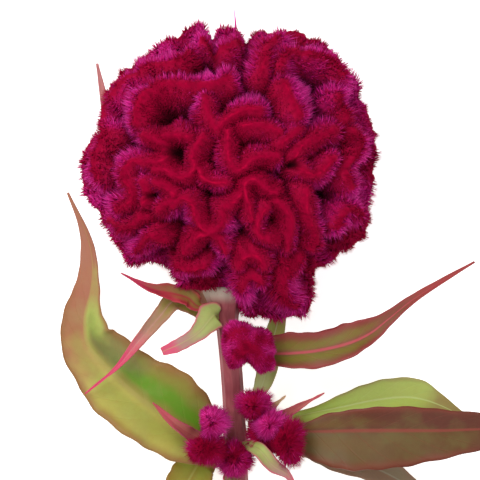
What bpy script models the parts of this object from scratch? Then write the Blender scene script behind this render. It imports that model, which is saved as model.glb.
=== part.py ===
"""Cockscomb celosia, one cut flower lying on its back.

The picture plane of the front view is the floor plane: +X is its right, +Y its top, and +Z looks up
at the viewer. The origin is the spot on the floor below the middle of the head, where the head rests.
Shapes that were laid out on the front view are written on its grid, x to the right and y down.
"""

import math

import bmesh
import bpy
import numpy as np
from mathutils import Vector

# Driving dimensions, in metres.
GRID = 0.0004
HEAD_HEIGHT = 0.041
HEAD_FRONT_DEPTH = 0.044
HEAD_BACK_DEPTH = 0.0435
FOLD_DEPTH = 0.015
FOLD_HALF_WIDTH = 0.0105
FOLD_FULL_SPACING = 0.0075
FOLD_ARM = 0.014
FOLD_LEAN = 0.22
FOLD_STEEPNESS = 2.2
FOLD_ROUNDNESS = 0.7
FLORET_LENGTH = 0.0013
FLORET_REACH = 0.0016
HEAD_TRIANGLES = 9800
REST_SPOT_RADIUS = 0.009
SMOOTH_BELOW = 0.004
NECK_CLEARANCE = 0.0105
TUFT_FLORET = 0.0013
AWN_ROOT = (236, 27, 0.040)
AWN_TIP = (234, 5, 0.043)
STEM_RADIUS = 0.0042
STEM_RIDGE = 0.07
LEAF_THICKNESS = 0.0016
STALK_SHARE = 0.08
STALK_STRAIGHT = 0.004
STALK_HALF_WIDTH = 0.0010
TIP_HALF_WIDTH = 0.0005
MARGIN_THICKNESS = 0.45
BLADE_POWER = 0.82
GAP = 0.0004

# The middle of the head on the grid, and the half widths of its outline round it: degrees
# anticlockwise from the right, grid units.
HEAD_MIDDLE = (229, 172)
HEAD_OUTLINE = (
    (0, 149), (15, 148), (25, 152), (34, 157), (46, 156), (61, 158), (76, 151), (90, 144),
    (103, 152), (118, 149), (133, 147), (148, 148), (162, 139), (173, 148), (187, 150),
    (196, 137), (206, 139), (218, 135), (226, 121), (236, 118), (247, 125), (256, 123), (263, 121),
    (270, 130), (278, 149), (289, 157), (297, 163), (302, 157), (307, 137), (313, 135),
    (322, 140), (335, 150), (347, 149),
)  # fmt: skip

# The same for the large tuft below the head.
TUFT_OUTLINE = (
    (0, 26), (14, 26), (36, 28), (60, 21), (78, 19), (95, 24), (117, 30), (140, 32), (155, 30),
    (189, 25), (214, 27), (230, 30), (242, 23), (262, 16), (280, 16), (297, 32), (318, 35),
    (336, 28),
)  # fmt: skip

# The thin growing edges of the comb as they run over the front of the head, on the grid.
FRONT_CRESTS = (
    ((108, 98), (120, 82), (138, 71), (152, 66), (166, 65), (178, 61), (186, 51)),
    ((203, 42), (214, 47), (225, 48), (233, 44), (240, 38)),
    ((136, 124), (138, 107), (146, 93), (164, 85), (188, 86), (212, 86), (228, 79)),
    ((144, 137), (156, 141), (165, 148), (167, 155), (161, 162), (148, 164), (134, 163),
     (126, 170), (124, 180), (130, 188), (133, 197), (127, 206), (116, 211)),
    ((164, 138), (176, 137), (189, 139)),
    ((204, 138), (197, 147), (193, 158), (195, 169), (188, 178), (177, 178), (165, 171), (154, 171)),
    ((156, 184), (167, 189), (174, 196), (169, 204), (159, 211)),
    ((143, 184), (146, 193), (144, 205)),
    ((172, 208), (183, 200), (192, 204), (196, 217), (204, 231), (216, 232), (223, 222),
     (223, 211), (232, 205), (241, 196)),
    ((184, 253), (191, 245), (199, 237), (210, 236), (219, 241), (225, 252)),
    ((141, 248), (147, 239), (154, 236), (163, 241)),
    ((206, 99), (207, 113), (212, 124), (217, 131), (223, 124), (233, 117), (246, 111), (260, 112)),
    ((228, 133), (228, 147), (229, 160), (235, 171), (243, 170), (251, 162), (262, 158), (277, 157)),
    ((243, 128), (256, 127), (268, 129), (280, 134)),
    ((200, 172), (204, 180), (213, 184), (226, 184)),
    ((252, 222), (250, 209), (246, 197), (245, 186), (252, 181), (260, 184), (267, 191), (277, 195)),
    ((267, 209), (260, 218), (257, 230), (263, 239), (279, 241)),
    ((277, 203), (285, 211), (291, 220), (290, 233), (289, 248)),
    ((299, 131), (290, 138), (282, 145)),
    ((334, 131), (322, 137), (310, 143), (300, 149), (296, 158), (300, 168), (308, 175),
     (318, 175), (326, 169), (333, 160)),
    ((284, 84), (288, 95), (293, 106), (300, 117)),
    ((262, 72), (265, 59), (268, 47), (277, 40)),
    ((281, 66), (287, 56), (299, 52), (314, 57), (328, 66), (339, 78)),
    ((336, 98), (345, 107), (347, 119)),
    ((352, 132), (359, 146), (353, 160), (347, 174), (353, 188)),
    ((306, 192), (306, 207), (309, 222), (316, 236), (311, 250)),
    ((338, 228), (344, 215), (353, 210), (361, 215)),
    ((238, 268), (243, 259), (251, 256), (259, 259), (264, 267)),
    ((240, 291), (246, 283), (253, 280), (261, 283)),
    ((303, 259), (294, 268), (286, 277), (283, 290), (288, 303), (297, 308)),
    ((101, 104), (98, 118), (103, 133), (98, 148), (93, 162), (97, 178)),
    ((107, 222), (119, 229), (131, 227), (140, 219)),
    ((176, 268), (190, 271), (204, 268)),
)  # fmt: skip
RIM_WAVES = 11
RIM_SWING = 0.16
RIM_TILT = -0.12
BACK_TURN = math.radians(38)

# Deep gaps between folds: x, y and half width on the grid.
PITS = (
    (175, 151, 7), (206, 195, 6), (246, 241, 6), (222, 108, 5), (273, 225, 5), (297, 166, 5),
    (340, 201, 6), (206, 56, 6), (325, 84, 5), (149, 199, 4), (177, 217, 4),
)  # fmt: skip
PIT_DEPTH = 0.006

# The stem on the grid: x, y and the height of its middle over the floor in metres.
NECK = (222, 286, 0.0350)
CUT_END = (252, 640, 0.0057)
NECK_HALF_WIDTH = 0.0088
FLARE_LENGTH = 0.018
FLARE_DEPTH = 0.0012

# The swelling where most leaves join: its place on the grid, half length and bulge.
NODE_AT = 443
NODE_HALF_LENGTH = 10
NODE_BULGE = 0.0007


def on_floor(x, y, height=0.0):
    """The point over the floor for a place on the front view's grid."""
    return Vector(((x - HEAD_MIDDLE[0]) * GRID, (HEAD_MIDDLE[1] - y) * GRID, height))


def smooth_run(points, samples):
    """Points along a Catmull-Rom curve through hand-placed points, ends included."""
    p = np.array(points, float)
    p = np.vstack([2 * p[0] - p[1], p, 2 * p[-1] - p[-2]])
    spans = len(p) - 3
    out = []
    for t in np.linspace(0, spans, samples):
        k = min(int(t), spans - 1)
        f = t - k
        a, b, c, d = p[k : k + 4]
        out.append(
            0.5 * (2 * b + (c - a) * f + (2 * a - 5 * b + 4 * c - d) * f**2
                   + (3 * b - a - 3 * c + d) * f**3)
        )  # fmt: skip
    return np.array(out)


# The head.


def outline_at(outline, angle):
    """Half width of an outline, in grid units, at these angles in radians."""
    degrees, radii = zip(*outline)
    return np.interp(np.degrees(angle) % 360, degrees, radii, period=360)


def outline_radius(angle):
    """Half width of the head's outline, in metres, less its florets."""
    return outline_at(HEAD_OUTLINE, angle) * GRID - FLORET_REACH


def head_surface(u):
    """Points of the head's smooth envelope, about its middle, for unit directions u."""
    radius = outline_radius(np.arctan2(u[:, 1], u[:, 0]))
    depth = np.where(u[:, 2] > 0, HEAD_FRONT_DEPTH, HEAD_BACK_DEPTH) - FLORET_REACH
    return np.column_stack([u[:, 0] * radius, u[:, 1] * radius, u[:, 2] * depth])


def front_directions(line):
    """Unit directions for a crest drawn on the front view."""
    run = smooth_run(line, 6 * len(line))
    x, y = (run[:, 0] - HEAD_MIDDLE[0]) * GRID, (HEAD_MIDDLE[1] - run[:, 1]) * GRID
    angle = np.arctan2(y, x)
    share = np.minimum(np.hypot(x, y) / outline_radius(angle), 0.985)
    return np.column_stack([share * np.cos(angle), share * np.sin(angle), np.sqrt(1 - share**2)])


def rim_directions():
    """Unit directions for the crest that winds round the rim, between front and back."""
    a = np.linspace(0, 2 * math.pi, 400)
    lift = RIM_TILT + RIM_SWING * np.sin(RIM_WAVES * a) * np.cos(2 * a + 1)
    return np.column_stack([np.cos(a) * np.cos(lift), np.sin(a) * np.cos(lift), np.sin(lift)])


def crest_lines():
    """Every crest as points about the head's middle. The back repeats the front's folds, turned."""
    front = [front_directions(line) for line in FRONT_CRESTS]
    turn = np.array([[math.cos(BACK_TURN), -math.sin(BACK_TURN), 0],
                     [math.sin(BACK_TURN), math.cos(BACK_TURN), 0], [0, 0, 1]])  # fmt: skip
    back = [(line * (-1, 1, -1)) @ turn.T for line in front]
    return [head_surface(line) for line in [*front, *back, rim_directions()]]


class Folds:
    """The crests, and how high a place near them stands."""

    def __init__(self, lines):
        self.points = np.vstack(lines)
        self.line = np.repeat(np.arange(len(lines)), [len(line) for line in lines])
        steps = [np.linalg.norm(np.diff(line, axis=0, prepend=line[:1]), axis=1) for line in lines]
        self.along = np.concatenate([np.cumsum(step) for step in steps])

    def nearest(self, places):
        """The nearest crest point to each place, its distance, and the next fold's distance.
        Distances count for less on a crest's outer side, so that the folds lean outwards."""
        found = np.empty(len(places), int)
        nearest = np.empty(len(places))
        second = np.empty(len(places))
        outward = places * (1, 1, 0)
        outward /= np.maximum(np.linalg.norm(places, axis=1), 1e-9)[:, None]
        for k in range(0, len(places), 512):
            offset = places[k : k + 512, None, :] - self.points[None]
            gap = np.linalg.norm(offset, axis=2)
            gap -= FOLD_LEAN * np.einsum("nmc,nc->nm", offset, outward[k : k + 512])
            first = gap.argmin(1)
            same = self.line[None] == self.line[first][:, None]
            same &= np.abs(self.along[None] - self.along[first][:, None]) < FOLD_ARM
            found[k : k + 512] = first
            nearest[k : k + 512] = gap.min(1)
            second[k : k + 512] = np.where(same, 1.0, gap).min(1)
        return self.points[found], nearest, second

    def height(self, first, second):
        """The height of the folds over their grooves, from 0 to 1: round on top and steep below."""
        between = 2 * first / (first + second)
        alone = np.minimum(first / FOLD_HALF_WIDTH, 1)
        profile = (1 - np.maximum(between, alone) ** FOLD_STEEPNESS) ** FOLD_ROUNDNESS
        full = np.minimum((first + second) / 2 / FOLD_FULL_SPACING, 1)
        return 1 - full * (1 - profile)


def pit_depth(points):
    """How far the deep gaps sink places on the front of the head."""
    sunk = np.zeros(len(points))
    for x, y, wide in PITS:
        at = np.array(on_floor(x, y))[:2]
        gap = np.hypot(points[:, 0] - at[0], points[:, 1] - at[1]) / (wide * GRID)
        sunk = np.maximum(sunk, PIT_DEPTH * np.exp(-(gap**2)))
    return np.where(points[:, 2] > 0, sunk, 0)


def floret_verts(bm):
    """Vertices no two of which share an edge, so that each can rise alone."""
    taken = set()
    chosen = []
    for vert in bm.verts:
        if vert not in taken:
            chosen.append(vert)
            taken.update(edge.other_vert(vert) for edge in vert.link_edges)
    return chosen


def crest_head():
    """The folded comb, with a floret raised at every other vertex of its folds."""
    folds = Folds(crest_lines())
    bm = bmesh.new()
    bmesh.ops.create_icosphere(bm, subdivisions=6, radius=1.0)
    u = np.array([v.co for v in bm.verts])
    points = head_surface(u / np.linalg.norm(u, axis=1)[:, None])
    near, first, second = folds.nearest(points)
    height = folds.height(first, second)
    underneath = (np.hypot(points[:, 0], points[:, 1]) < REST_SPOT_RADIUS) & (points[:, 2] < 0)
    height[underneath] = 1
    sizes = np.linalg.norm(points, axis=1)
    sunk = FOLD_DEPTH * (1 - height) + pit_depth(points)
    placed = points * (1 - sunk / sizes)[:, None]
    for vert, place in zip(bm.verts, placed):
        vert.co = place
    bm.normal_update()
    bm.verts.index_update()
    neck = on_floor(*NECK) - Vector((0, 0, HEAD_HEIGHT))
    lifts = {}
    for vert in floret_verts(bm):
        low = vert.co.z + HEAD_HEIGHT < SMOOTH_BELOW and vert.normal.z < -0.7
        if not low and (vert.co - neck).length > NECK_CLEARANCE:
            size = FLORET_LENGTH * height[vert.index]
            lifts[vert] = (vert.normal + vert.co.normalized()).normalized() * size
    for vert, lift in lifts.items():
        vert.co += lift
    awn = on_floor(*AWN_ROOT) - Vector((0, 0, HEAD_HEIGHT))
    bristle = min(bm.verts, key=lambda vert: (vert.co - awn).length)
    bristle.co = on_floor(*AWN_TIP) - Vector((0, 0, HEAD_HEIGHT))
    bmesh.ops.translate(bm, vec=(0, 0, HEAD_HEIGHT), verts=bm.verts[:])
    faces = len(bm.faces)
    head = finished("crest_head", bm, (0.55, 0.0, 0.13), 0.9)
    thin = head.modifiers.new("fewer_faces", "DECIMATE")
    thin.ratio = HEAD_TRIANGLES / faces
    cut(head, box_cutter("floor_cutter", (0, 0, -0.02), (0.2, 0.2, 0.02)))
    cut(head, neck_cutter())
    return head


# Small velvet tufts in the leaf joints.


def side_crest(name, middle, size, lobes, turn, outline=None):
    """A small ruffled tuft: a ball with lobes, or with an outline in grid units, and florets."""
    bm = bmesh.new()
    bmesh.ops.create_icosphere(bm, subdivisions=3, radius=1.0)
    centre = on_floor(*middle)
    for vert in bm.verts:
        x, y, z = vert.co
        angle = math.atan2(y, x) + turn
        ruffle = 1 + 0.13 * math.sin(lobes * angle) * math.hypot(x, y)
        ruffle += 0.07 * math.sin(4 * z + 3 * x)
        across, up, deep = size
        if outline:
            spread = outline_at(outline, math.atan2(y, x)) - TUFT_FLORET / GRID
            across, up, ruffle = across * spread, up * spread, 1
        vert.co = centre + Vector((x * across, y * up, z * deep)) * ruffle
    bm.normal_update()
    for vert in floret_verts(bm):
        vert.co += vert.normal * TUFT_FLORET
    return finished(name, bm, (0.55, 0.01, 0.20), 0.9)


# Stem and leaves.


def stem_axis(y):
    """Middle of the stem at a height y on the grid."""
    share = (y - NECK[1]) / (CUT_END[1] - NECK[1])
    x = NECK[0] + share * (CUT_END[0] - NECK[0]) + 2.0 * math.sin(2.2 * math.pi * share)
    return on_floor(x, y, NECK[2] + share * (CUT_END[2] - NECK[2]))


def stem_half_widths(y):
    """Half width and half depth of the stem, which flattens to a fan under the comb."""
    flare = max(0.0, 1 - (y - NECK[1]) * GRID / FLARE_LENGTH) ** 1.6
    node = NODE_BULGE * math.exp(-(((y - NODE_AT) / NODE_HALF_LENGTH) ** 2))
    radius = STEM_RADIUS + node
    return radius + flare * (NECK_HALF_WIDTH - STEM_RADIUS), radius + flare * FLARE_DEPTH


def main_stem():
    """The ribbed stem, from the flat neck in the head's socket to the cut end."""
    sides, rows = 16, 22
    bm = bmesh.new()
    top = NECK[1] + GAP / GRID
    ring = bmesh.ops.create_circle(bm, segments=sides, radius=1.0)["verts"]
    bmesh.ops.contextual_create(bm, geom=bm.edges[:])
    faces = bm.faces[:]
    levels = [ring]
    for _ in range(rows - 1):
        made = bmesh.ops.extrude_face_region(bm, geom=faces)
        bmesh.ops.delete(bm, geom=[f for f in faces if len(levels) > 1], context="FACES_ONLY")
        faces = [g for g in made["geom"] if isinstance(g, bmesh.types.BMFace)]
        levels.append([g for g in made["geom"] if isinstance(g, bmesh.types.BMVert)])
    for k, verts in enumerate(levels):
        y = top + (CUT_END[1] - top) * (k / (rows - 1)) ** 1.15
        wide, deep = stem_half_widths(y)
        for i, vert in enumerate(verts):
            angle = 2 * math.pi * i / sides
            rib = 1 + STEM_RIDGE * math.cos(math.pi * i)
            vert.co = stem_axis(y) + Vector((wide * math.cos(angle), 0, deep * math.sin(angle))) * rib
    bmesh.ops.recalc_face_normals(bm, faces=bm.faces[:])
    return finished("main_stem", bm, (0.42, 0.10, 0.11), 0.55)


def leaf(name, joint, route, facing, half_width=0.0, margins=None, fold=0.35, ripple=0.25,
         waves=3.0, phase=0.0, widest=0.4, rows=13, colour=(0.30, 0.28, 0.07)):  # fmt: skip
    """A lance-shaped leaf with a thick midrib. Its stalk leaves the stem at joint = (y on the grid,
    degrees round the stem, 0 to the right and 90 to the viewer), and its midrib follows route, whose
    points are grid x, grid y and height in metres. facing gives the way its upper side looks, from
    base to tip, fold how steeply its halves rise, ripple and waves the waving of its margins, and
    widest the share of its length at which it is widest. Uneven leaves give margins instead of
    half_width: share of the length, then left and right half width in grid units."""
    y, around = joint
    wide, deep = stem_half_widths(y)
    out = Vector((math.cos(math.radians(around)), 0, math.sin(math.radians(around))))
    reach = math.hypot(out.x * wide, out.z * deep) * (1 + STEM_RIDGE) + 2 * GAP
    base = stem_axis(y)
    points = [base + out * reach, base + out * (reach + STALK_STRAIGHT)]
    points += [on_floor(*place) for place in route]
    spine = smooth_run([tuple(p) for p in points], rows)
    looks = smooth_run(facing, rows) if len(facing) > 1 else np.repeat([facing[0]], rows, axis=0)
    bm = bmesh.new()
    bmesh.ops.create_grid(bm, x_segments=4, y_segments=rows - 1, size=1.0)
    weights = []
    for vert in bm.verts:
        side = vert.co.x
        t = (vert.co.y + 1) / 2
        least = STALK_HALF_WIDTH if t < 0.5 else TIP_HALF_WIDTH
        width = half_width * blade_share(t, widest)
        if margins:
            shares, lefts, rights = zip(*margins)
            width = np.interp(t, shares, lefts if side < 0 else rights) * GRID
        width = max(width, least)
        wave = math.sin(2 * math.pi * waves * t + phase + 1.3 * (side > 0))
        rise = width * (fold * abs(side) + ripple * side * side * wave)
        vert.co = leaf_point(spine, looks, t, side * width, rise)
        weights.append(1.0 if abs(side) < 0.1 else MARGIN_THICKNESS)
    bmesh.ops.triangulate(bm, faces=bm.faces[:])
    bmesh.ops.recalc_face_normals(bm, faces=bm.faces[:])
    blade = finished(name, bm, colour, 0.5)
    group = blade.vertex_groups.new(name="midrib")
    for index, weight in enumerate(weights):
        group.add([index], weight, "REPLACE")
    wall = blade.modifiers.new("blade", "SOLIDIFY")
    wall.thickness = LEAF_THICKNESS
    wall.offset = 0
    wall.vertex_group = group.name
    return blade


def blade_share(t, widest):
    """Half width of a leaf as a share of its widest, from the stalk at t = 0 to the drawn-out tip."""
    s = max(0.0, (t - STALK_SHARE) / (1 - STALK_SHARE))
    tail = BLADE_POWER * (1 - widest) / widest
    return (s / widest) ** BLADE_POWER * ((1 - s) / (1 - widest)) ** tail


def leaf_point(spine, looks, t, across, rise):
    """The place on a leaf at t along it, across its midrib and risen over it."""
    last = len(spine) - 1
    k = min(int(round(t * last)), last)
    tangent = Vector(spine[min(k + 1, last)] - spine[max(k - 1, 0)]).normalized()
    up = Vector(looks[k])
    up = (up - tangent * up.dot(tangent)).normalized()
    return Vector(spine[k]) + tangent.cross(up) * across + up * rise


def leaves():
    """Every leaf and bract, from the largest at the left to the small ones in the whorl."""
    green, brown, grey = (0.20, 0.27, 0.04), (0.36, 0.13, 0.06), (0.22, 0.22, 0.12)
    leaf("leaf_left_large", (447, 168),
         ((192, 436, 0.029), (165, 418, 0.031), (135, 396, 0.032), (108, 370, 0.031),
          (87, 345, 0.029), (84, 318, 0.027), (90, 290, 0.024), (91, 262, 0.021),
          (84, 232, 0.018), (65, 192, 0.014)),
         ((0.1, 0.3, 1), (0, 0.2, 1), (-0.45, 0, 1), (-0.6, 0, 1)),
         margins=((0, 2.5, 2.5), (0.10, 19, 20), (0.195, 35, 40), (0.31, 40, 47), (0.42, 39, 37),
                  (0.52, 29, 33), (0.60, 23, 28), (0.69, 20, 13), (0.77, 17, 7), (0.87, 10, 5),
                  (0.94, 4, 2), (1, 1, 1)),
         fold=0.25, ripple=0.10, waves=3.6, rows=23, colour=green)  # fmt: skip
    leaf("leaf_left_curled", (306, 165),
         ((188, 298, 0.037), (172, 293, 0.039), (150, 288, 0.040), (121, 273, 0.042)),
         ((0, 0.2, 1), (0, 0.5, 1)), 0.0038, colour=green)  # fmt: skip
    leaf("leaf_left_hanging", (316, 205),
         ((190, 306, 0.030), (173, 302, 0.030), (160, 316, 0.035), (138, 342, 0.042),
          (116, 368, 0.042), (85, 394, 0.039)),
         ((0, 0.2, 1), (0.3, 0.2, 1)), 0.0038, fold=0.4, widest=0.35, rows=15,
         colour=brown)  # fmt: skip
    leaf("leaf_left_bract", (316, 122),
         ((199, 332, 0.0415), (182, 343, 0.039), (162, 352, 0.036)),
         ((0.1, 0.1, 1),),
         margins=((0, 3, 3), (0.15, 11, 12), (0.28, 15, 16), (0.42, 10, 11), (0.6, 7, 7),
                  (0.85, 7, 6), (1, 4, 4)),
         fold=0.15, ripple=0.1, waves=2, rows=11, colour=green)  # fmt: skip
    leaf("leaf_right", (357, 8),
         ((268, 355, 0.034), (292, 354, 0.036), (318, 351, 0.038), (348, 344, 0.040),
          (370, 334, 0.040), (388, 320, 0.040), (412, 301, 0.038), (444, 281, 0.035),
          (476, 262, 0.031)),
         ((0, 0.3, 1), (-0.2, 0.3, 1)),
         margins=((0, 2.5, 2.5), (0.09, 9, 3), (0.18, 17, 9), (0.28, 20, 16), (0.40, 18, 19),
                  (0.50, 21, 16), (0.59, 16, 11), (0.71, 8, 6), (0.86, 4, 2.5), (1, 1, 1)),
         fold=0.3, ripple=0.18, waves=3.4, phase=1.0, rows=21, colour=green)  # fmt: skip
    leaf("leaf_right_back", (434, 333),
         ((272, 425, 0.017), (310, 416, 0.017), (345, 409, 0.018), (380, 402, 0.018),
          (415, 400, 0.018), (448, 410, 0.016), (482, 430, 0.012)),
         ((0, 0.2, 1), (0.2, 0.1, 1)),
         margins=((0, 2.5, 2.5), (0.15, 3, 4), (0.40, 5, 10), (0.49, 12, 14), (0.57, 17, 16),
                  (0.66, 20, 16), (0.77, 19, 14), (0.88, 8, 8), (1, 1, 1)),
         fold=0.25, ripple=0.15, rows=17, colour=green)  # fmt: skip
    leaf("leaf_right_large", (441, 5),
         ((268, 438, 0.026), (295, 433, 0.029), (325, 432, 0.032), (360, 431, 0.033),
          (405, 431, 0.034), (455, 431, 0.033), (510, 427, 0.030), (565, 410, 0.024)),
         ((0, -0.1, 1), (0.1, 0.1, 1)),
         margins=((0, 2.5, 2.5), (0.14, 4, 5), (0.25, 6, 11), (0.31, 6, 19), (0.39, 9, 27),
                  (0.44, 17, 34), (0.52, 20, 40), (0.59, 23, 40), (0.67, 24, 37), (0.72, 23, 32),
                  (0.84, 16, 20), (0.94, 7, 8), (1, 1, 1)),
         fold=0.15, ripple=0.12, waves=3.3, phase=2.0, rows=21, colour=brown)  # fmt: skip
    leaf("leaf_lower_right", (453, 325),
         ((275, 450, 0.014), (305, 449, 0.013), (335, 456, 0.012), (375, 471, 0.011),
          (415, 493, 0.009), (458, 528, 0.006)),
         ((0, 0.2, 1), (0.2, 0.2, 1)),
         margins=((0, 2.5, 2.5), (0.15, 4, 4), (0.3, 10, 7), (0.45, 16, 13), (0.6, 20, 20),
                  (0.8, 13, 14), (1, 1, 1)),
         fold=0.25, ripple=0.2, rows=15, colour=grey)  # fmt: skip
    leaf("leaf_bottom_left", (456, 205),
         ((201, 464, 0.017), (192, 477, 0.017), (182, 495, 0.016), (170, 524, 0.013),
          (158, 562, 0.007)),
         ((-0.1, 0.2, 1),), 0.0085, fold=0.25, ripple=0.2, phase=0.5, widest=0.45, rows=15,
         colour=green)  # fmt: skip
    leaf("leaf_folded_small", (479, 105),
         ((232, 490, 0.033), (237, 502, 0.032), (240, 522, 0.028)),
         ((0.3, 0, 1),), 0.0042, fold=0.5, waves=2.0, rows=11, colour=green)  # fmt: skip
    leaf("leaf_pink_rimmed", (446, 62),
         ((260, 451, 0.0392), (273, 466, 0.0395), (288, 476, 0.038), (300, 497, 0.032)),
         ((0, 0.2, 1),), 0.0030, fold=0.4, waves=2.0, rows=11, colour=green)  # fmt: skip
    leaf("bract_ochre", (417, 352),
         ((271, 410, 0.0255), (286, 397, 0.027)),
         ((0, 0.2, 1),), 0.0019, rows=9, colour=brown)  # fmt: skip
    leaf("bract_spur", (426, 356),
         ((278, 419, 0.0258), (291, 413, 0.027), (305, 405, 0.028), (325, 394, 0.029)),
         ((0, 0.2, 1),), 0.0020, rows=9, colour=brown)  # fmt: skip
    leaf("bract_spear", (441, 138),
         ((206, 440, 0.0338), (192, 436, 0.036), (174, 423, 0.043), (153, 402, 0.047)),
         ((0.2, 0.2, 1),), 0.0027, fold=0.4, widest=0.5, rows=11, colour=brown)  # fmt: skip
    leaf("leaf_back_strap", (397, 350),
         ((264, 382, 0.0235), (270, 352, 0.026), (278, 322, 0.024), (279, 304, 0.018)),
         ((0.2, 0, 1),), 0.0042, fold=0.25, waves=2.0, widest=0.55, rows=13,
         colour=green)  # fmt: skip
    leaf("leaf_behind_head", (312, 232),
         ((204, 304, 0.018), (192, 276, 0.009), (168, 246, 0.006), (142, 214, 0.006),
          (120, 174, 0.008), (108, 140, 0.011), (102, 104, 0.015), (95, 61, 0.019)),
         ((-0.2, 0.2, 1),),
         margins=((0, 2.5, 2.5), (0.3, 6, 6), (0.6, 7, 7), (0.8, 7, 8), (0.9, 3, 6), (1, 1, 1)),
         fold=0.3, rows=17, colour=brown)  # fmt: skip


def side_crests():
    """The small velvet tufts, one below the comb and the rest in the leaf whorl."""
    side_crest("side_crest_upper", (248, 346, 0.0470), (GRID, GRID, 0.0056), 3, 0.8, TUFT_OUTLINE)
    side_crest("whorl_crest_left", (212, 422, 0.0415), (0.0030, 0.0042, 0.0036), 3, 0.3)
    side_crest("whorl_crest_low_left", (207, 449, 0.0400), (0.0056, 0.0038, 0.0034), 3, 1.1)
    side_crest("whorl_crest_pointed", (254, 406, 0.0380), (0.0036, 0.0040, 0.0034), 3, 2.0)
    side_crest("whorl_crest_bright", (270, 425, 0.0400), (0.0032, 0.0028, 0.0028), 3, 0.6)
    side_crest("whorl_crest_inner", (264, 437, 0.0312), (0.0042, 0.0052, 0.0028), 3, 2.2)
    side_crest("whorl_crest_dark", (287, 442, 0.0405), (0.0042, 0.0064, 0.0036), 3, 1.6)
    side_crest("whorl_crest_middle", (235, 459, 0.0330), (0.0044, 0.0048, 0.0034), 3, 2.6)


# Making objects.


def finished(name, bm, colour, roughness):
    """Turns a bmesh into a named object with its own material."""
    mesh = bpy.data.meshes.new(name)
    bm.to_mesh(mesh)
    bm.free()
    material = bpy.data.materials.new(name)
    material.use_nodes = True
    shader = material.node_tree.nodes["Principled BSDF"]
    shader.inputs["Base Color"].default_value = (*colour, 1)
    shader.inputs["Roughness"].default_value = roughness
    mesh.materials.append(material)
    made = bpy.data.objects.new(name, mesh)
    bpy.data.collections["cockscomb_celosia"].objects.link(made)
    return made


def box_cutter(name, middle, half_sizes):
    """A helper box that is cut from a piece."""
    bm = bmesh.new()
    bmesh.ops.create_cube(bm, size=2.0)
    bmesh.ops.scale(bm, vec=half_sizes, verts=bm.verts[:])
    bmesh.ops.translate(bm, vec=middle, verts=bm.verts[:])
    return cutter(name, bm)


def neck_cutter():
    """The socket in the head's underside that clears the flat neck."""
    bm = bmesh.new()
    made = bmesh.ops.create_cone(
        bm, cap_ends=True, segments=24, radius1=1.0, radius2=1.0, depth=1.0
    )["verts"]
    wide, deep = stem_half_widths(NECK[1])
    bottom, top = on_floor(NECK[0], NECK[1] + 60), on_floor(NECK[0], NECK[1])
    for vert in made:
        x, y, z = vert.co
        place = top if z > 0 else bottom
        grow = 1 + STEM_RIDGE + 0.001 / deep
        vert.co = Vector((place.x + x * wide * grow, place.y, NECK[2] - y * deep * grow))
    return cutter("neck_cutter", bm)


def cutter(name, bm):
    """A helper object, left out of the part."""
    bmesh.ops.recalc_face_normals(bm, faces=bm.faces[:])
    mesh = bpy.data.meshes.new(name)
    bm.to_mesh(mesh)
    bm.free()
    made = bpy.data.objects.new(name, mesh)
    bpy.data.collections["cutters"].objects.link(made)
    made.hide_render = True
    made.display_type = "WIRE"
    return made


def cut(piece, tool):
    """Takes the tool's shape out of the piece."""
    boolean = piece.modifiers.new(tool.name, "BOOLEAN")
    boolean.operation = "DIFFERENCE"
    boolean.object = tool


def main():
    """Builds every piece of the flower."""
    for old in list(bpy.data.objects):
        bpy.data.objects.remove(old)
    for name in ("cockscomb_celosia", "cutters"):
        bpy.context.scene.collection.children.link(bpy.data.collections.new(name))
    crest_head()
    main_stem()
    side_crests()
    leaves()


main()
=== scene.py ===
"""Look of the cockscomb celosia: the velvet comb, its stem and its leaves, laid on a pale floor."""

import logging
import math
from dataclasses import dataclass, field
from enum import Enum

import bmesh
import bpy
import numpy as np
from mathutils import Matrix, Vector


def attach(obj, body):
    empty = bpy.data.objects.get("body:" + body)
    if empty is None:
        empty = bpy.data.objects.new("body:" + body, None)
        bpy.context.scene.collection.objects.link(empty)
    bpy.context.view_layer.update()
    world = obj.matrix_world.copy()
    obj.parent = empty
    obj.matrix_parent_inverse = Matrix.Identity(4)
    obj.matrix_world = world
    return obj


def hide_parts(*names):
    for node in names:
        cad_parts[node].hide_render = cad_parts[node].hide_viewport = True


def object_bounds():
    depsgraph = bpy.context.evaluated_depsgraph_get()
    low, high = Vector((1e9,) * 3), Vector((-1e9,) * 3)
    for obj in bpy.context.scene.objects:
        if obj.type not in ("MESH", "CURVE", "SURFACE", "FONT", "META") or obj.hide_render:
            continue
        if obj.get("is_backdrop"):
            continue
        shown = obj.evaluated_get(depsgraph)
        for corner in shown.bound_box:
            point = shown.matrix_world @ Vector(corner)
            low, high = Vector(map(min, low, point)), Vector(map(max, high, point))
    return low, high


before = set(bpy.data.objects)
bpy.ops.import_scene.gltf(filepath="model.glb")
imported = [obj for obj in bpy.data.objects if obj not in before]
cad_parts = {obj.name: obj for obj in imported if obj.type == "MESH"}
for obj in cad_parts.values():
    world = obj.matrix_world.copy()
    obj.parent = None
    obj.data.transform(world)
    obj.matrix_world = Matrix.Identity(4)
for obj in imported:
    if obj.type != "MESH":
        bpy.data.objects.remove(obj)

LOG = logging.getLogger("cockscomb")

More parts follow.
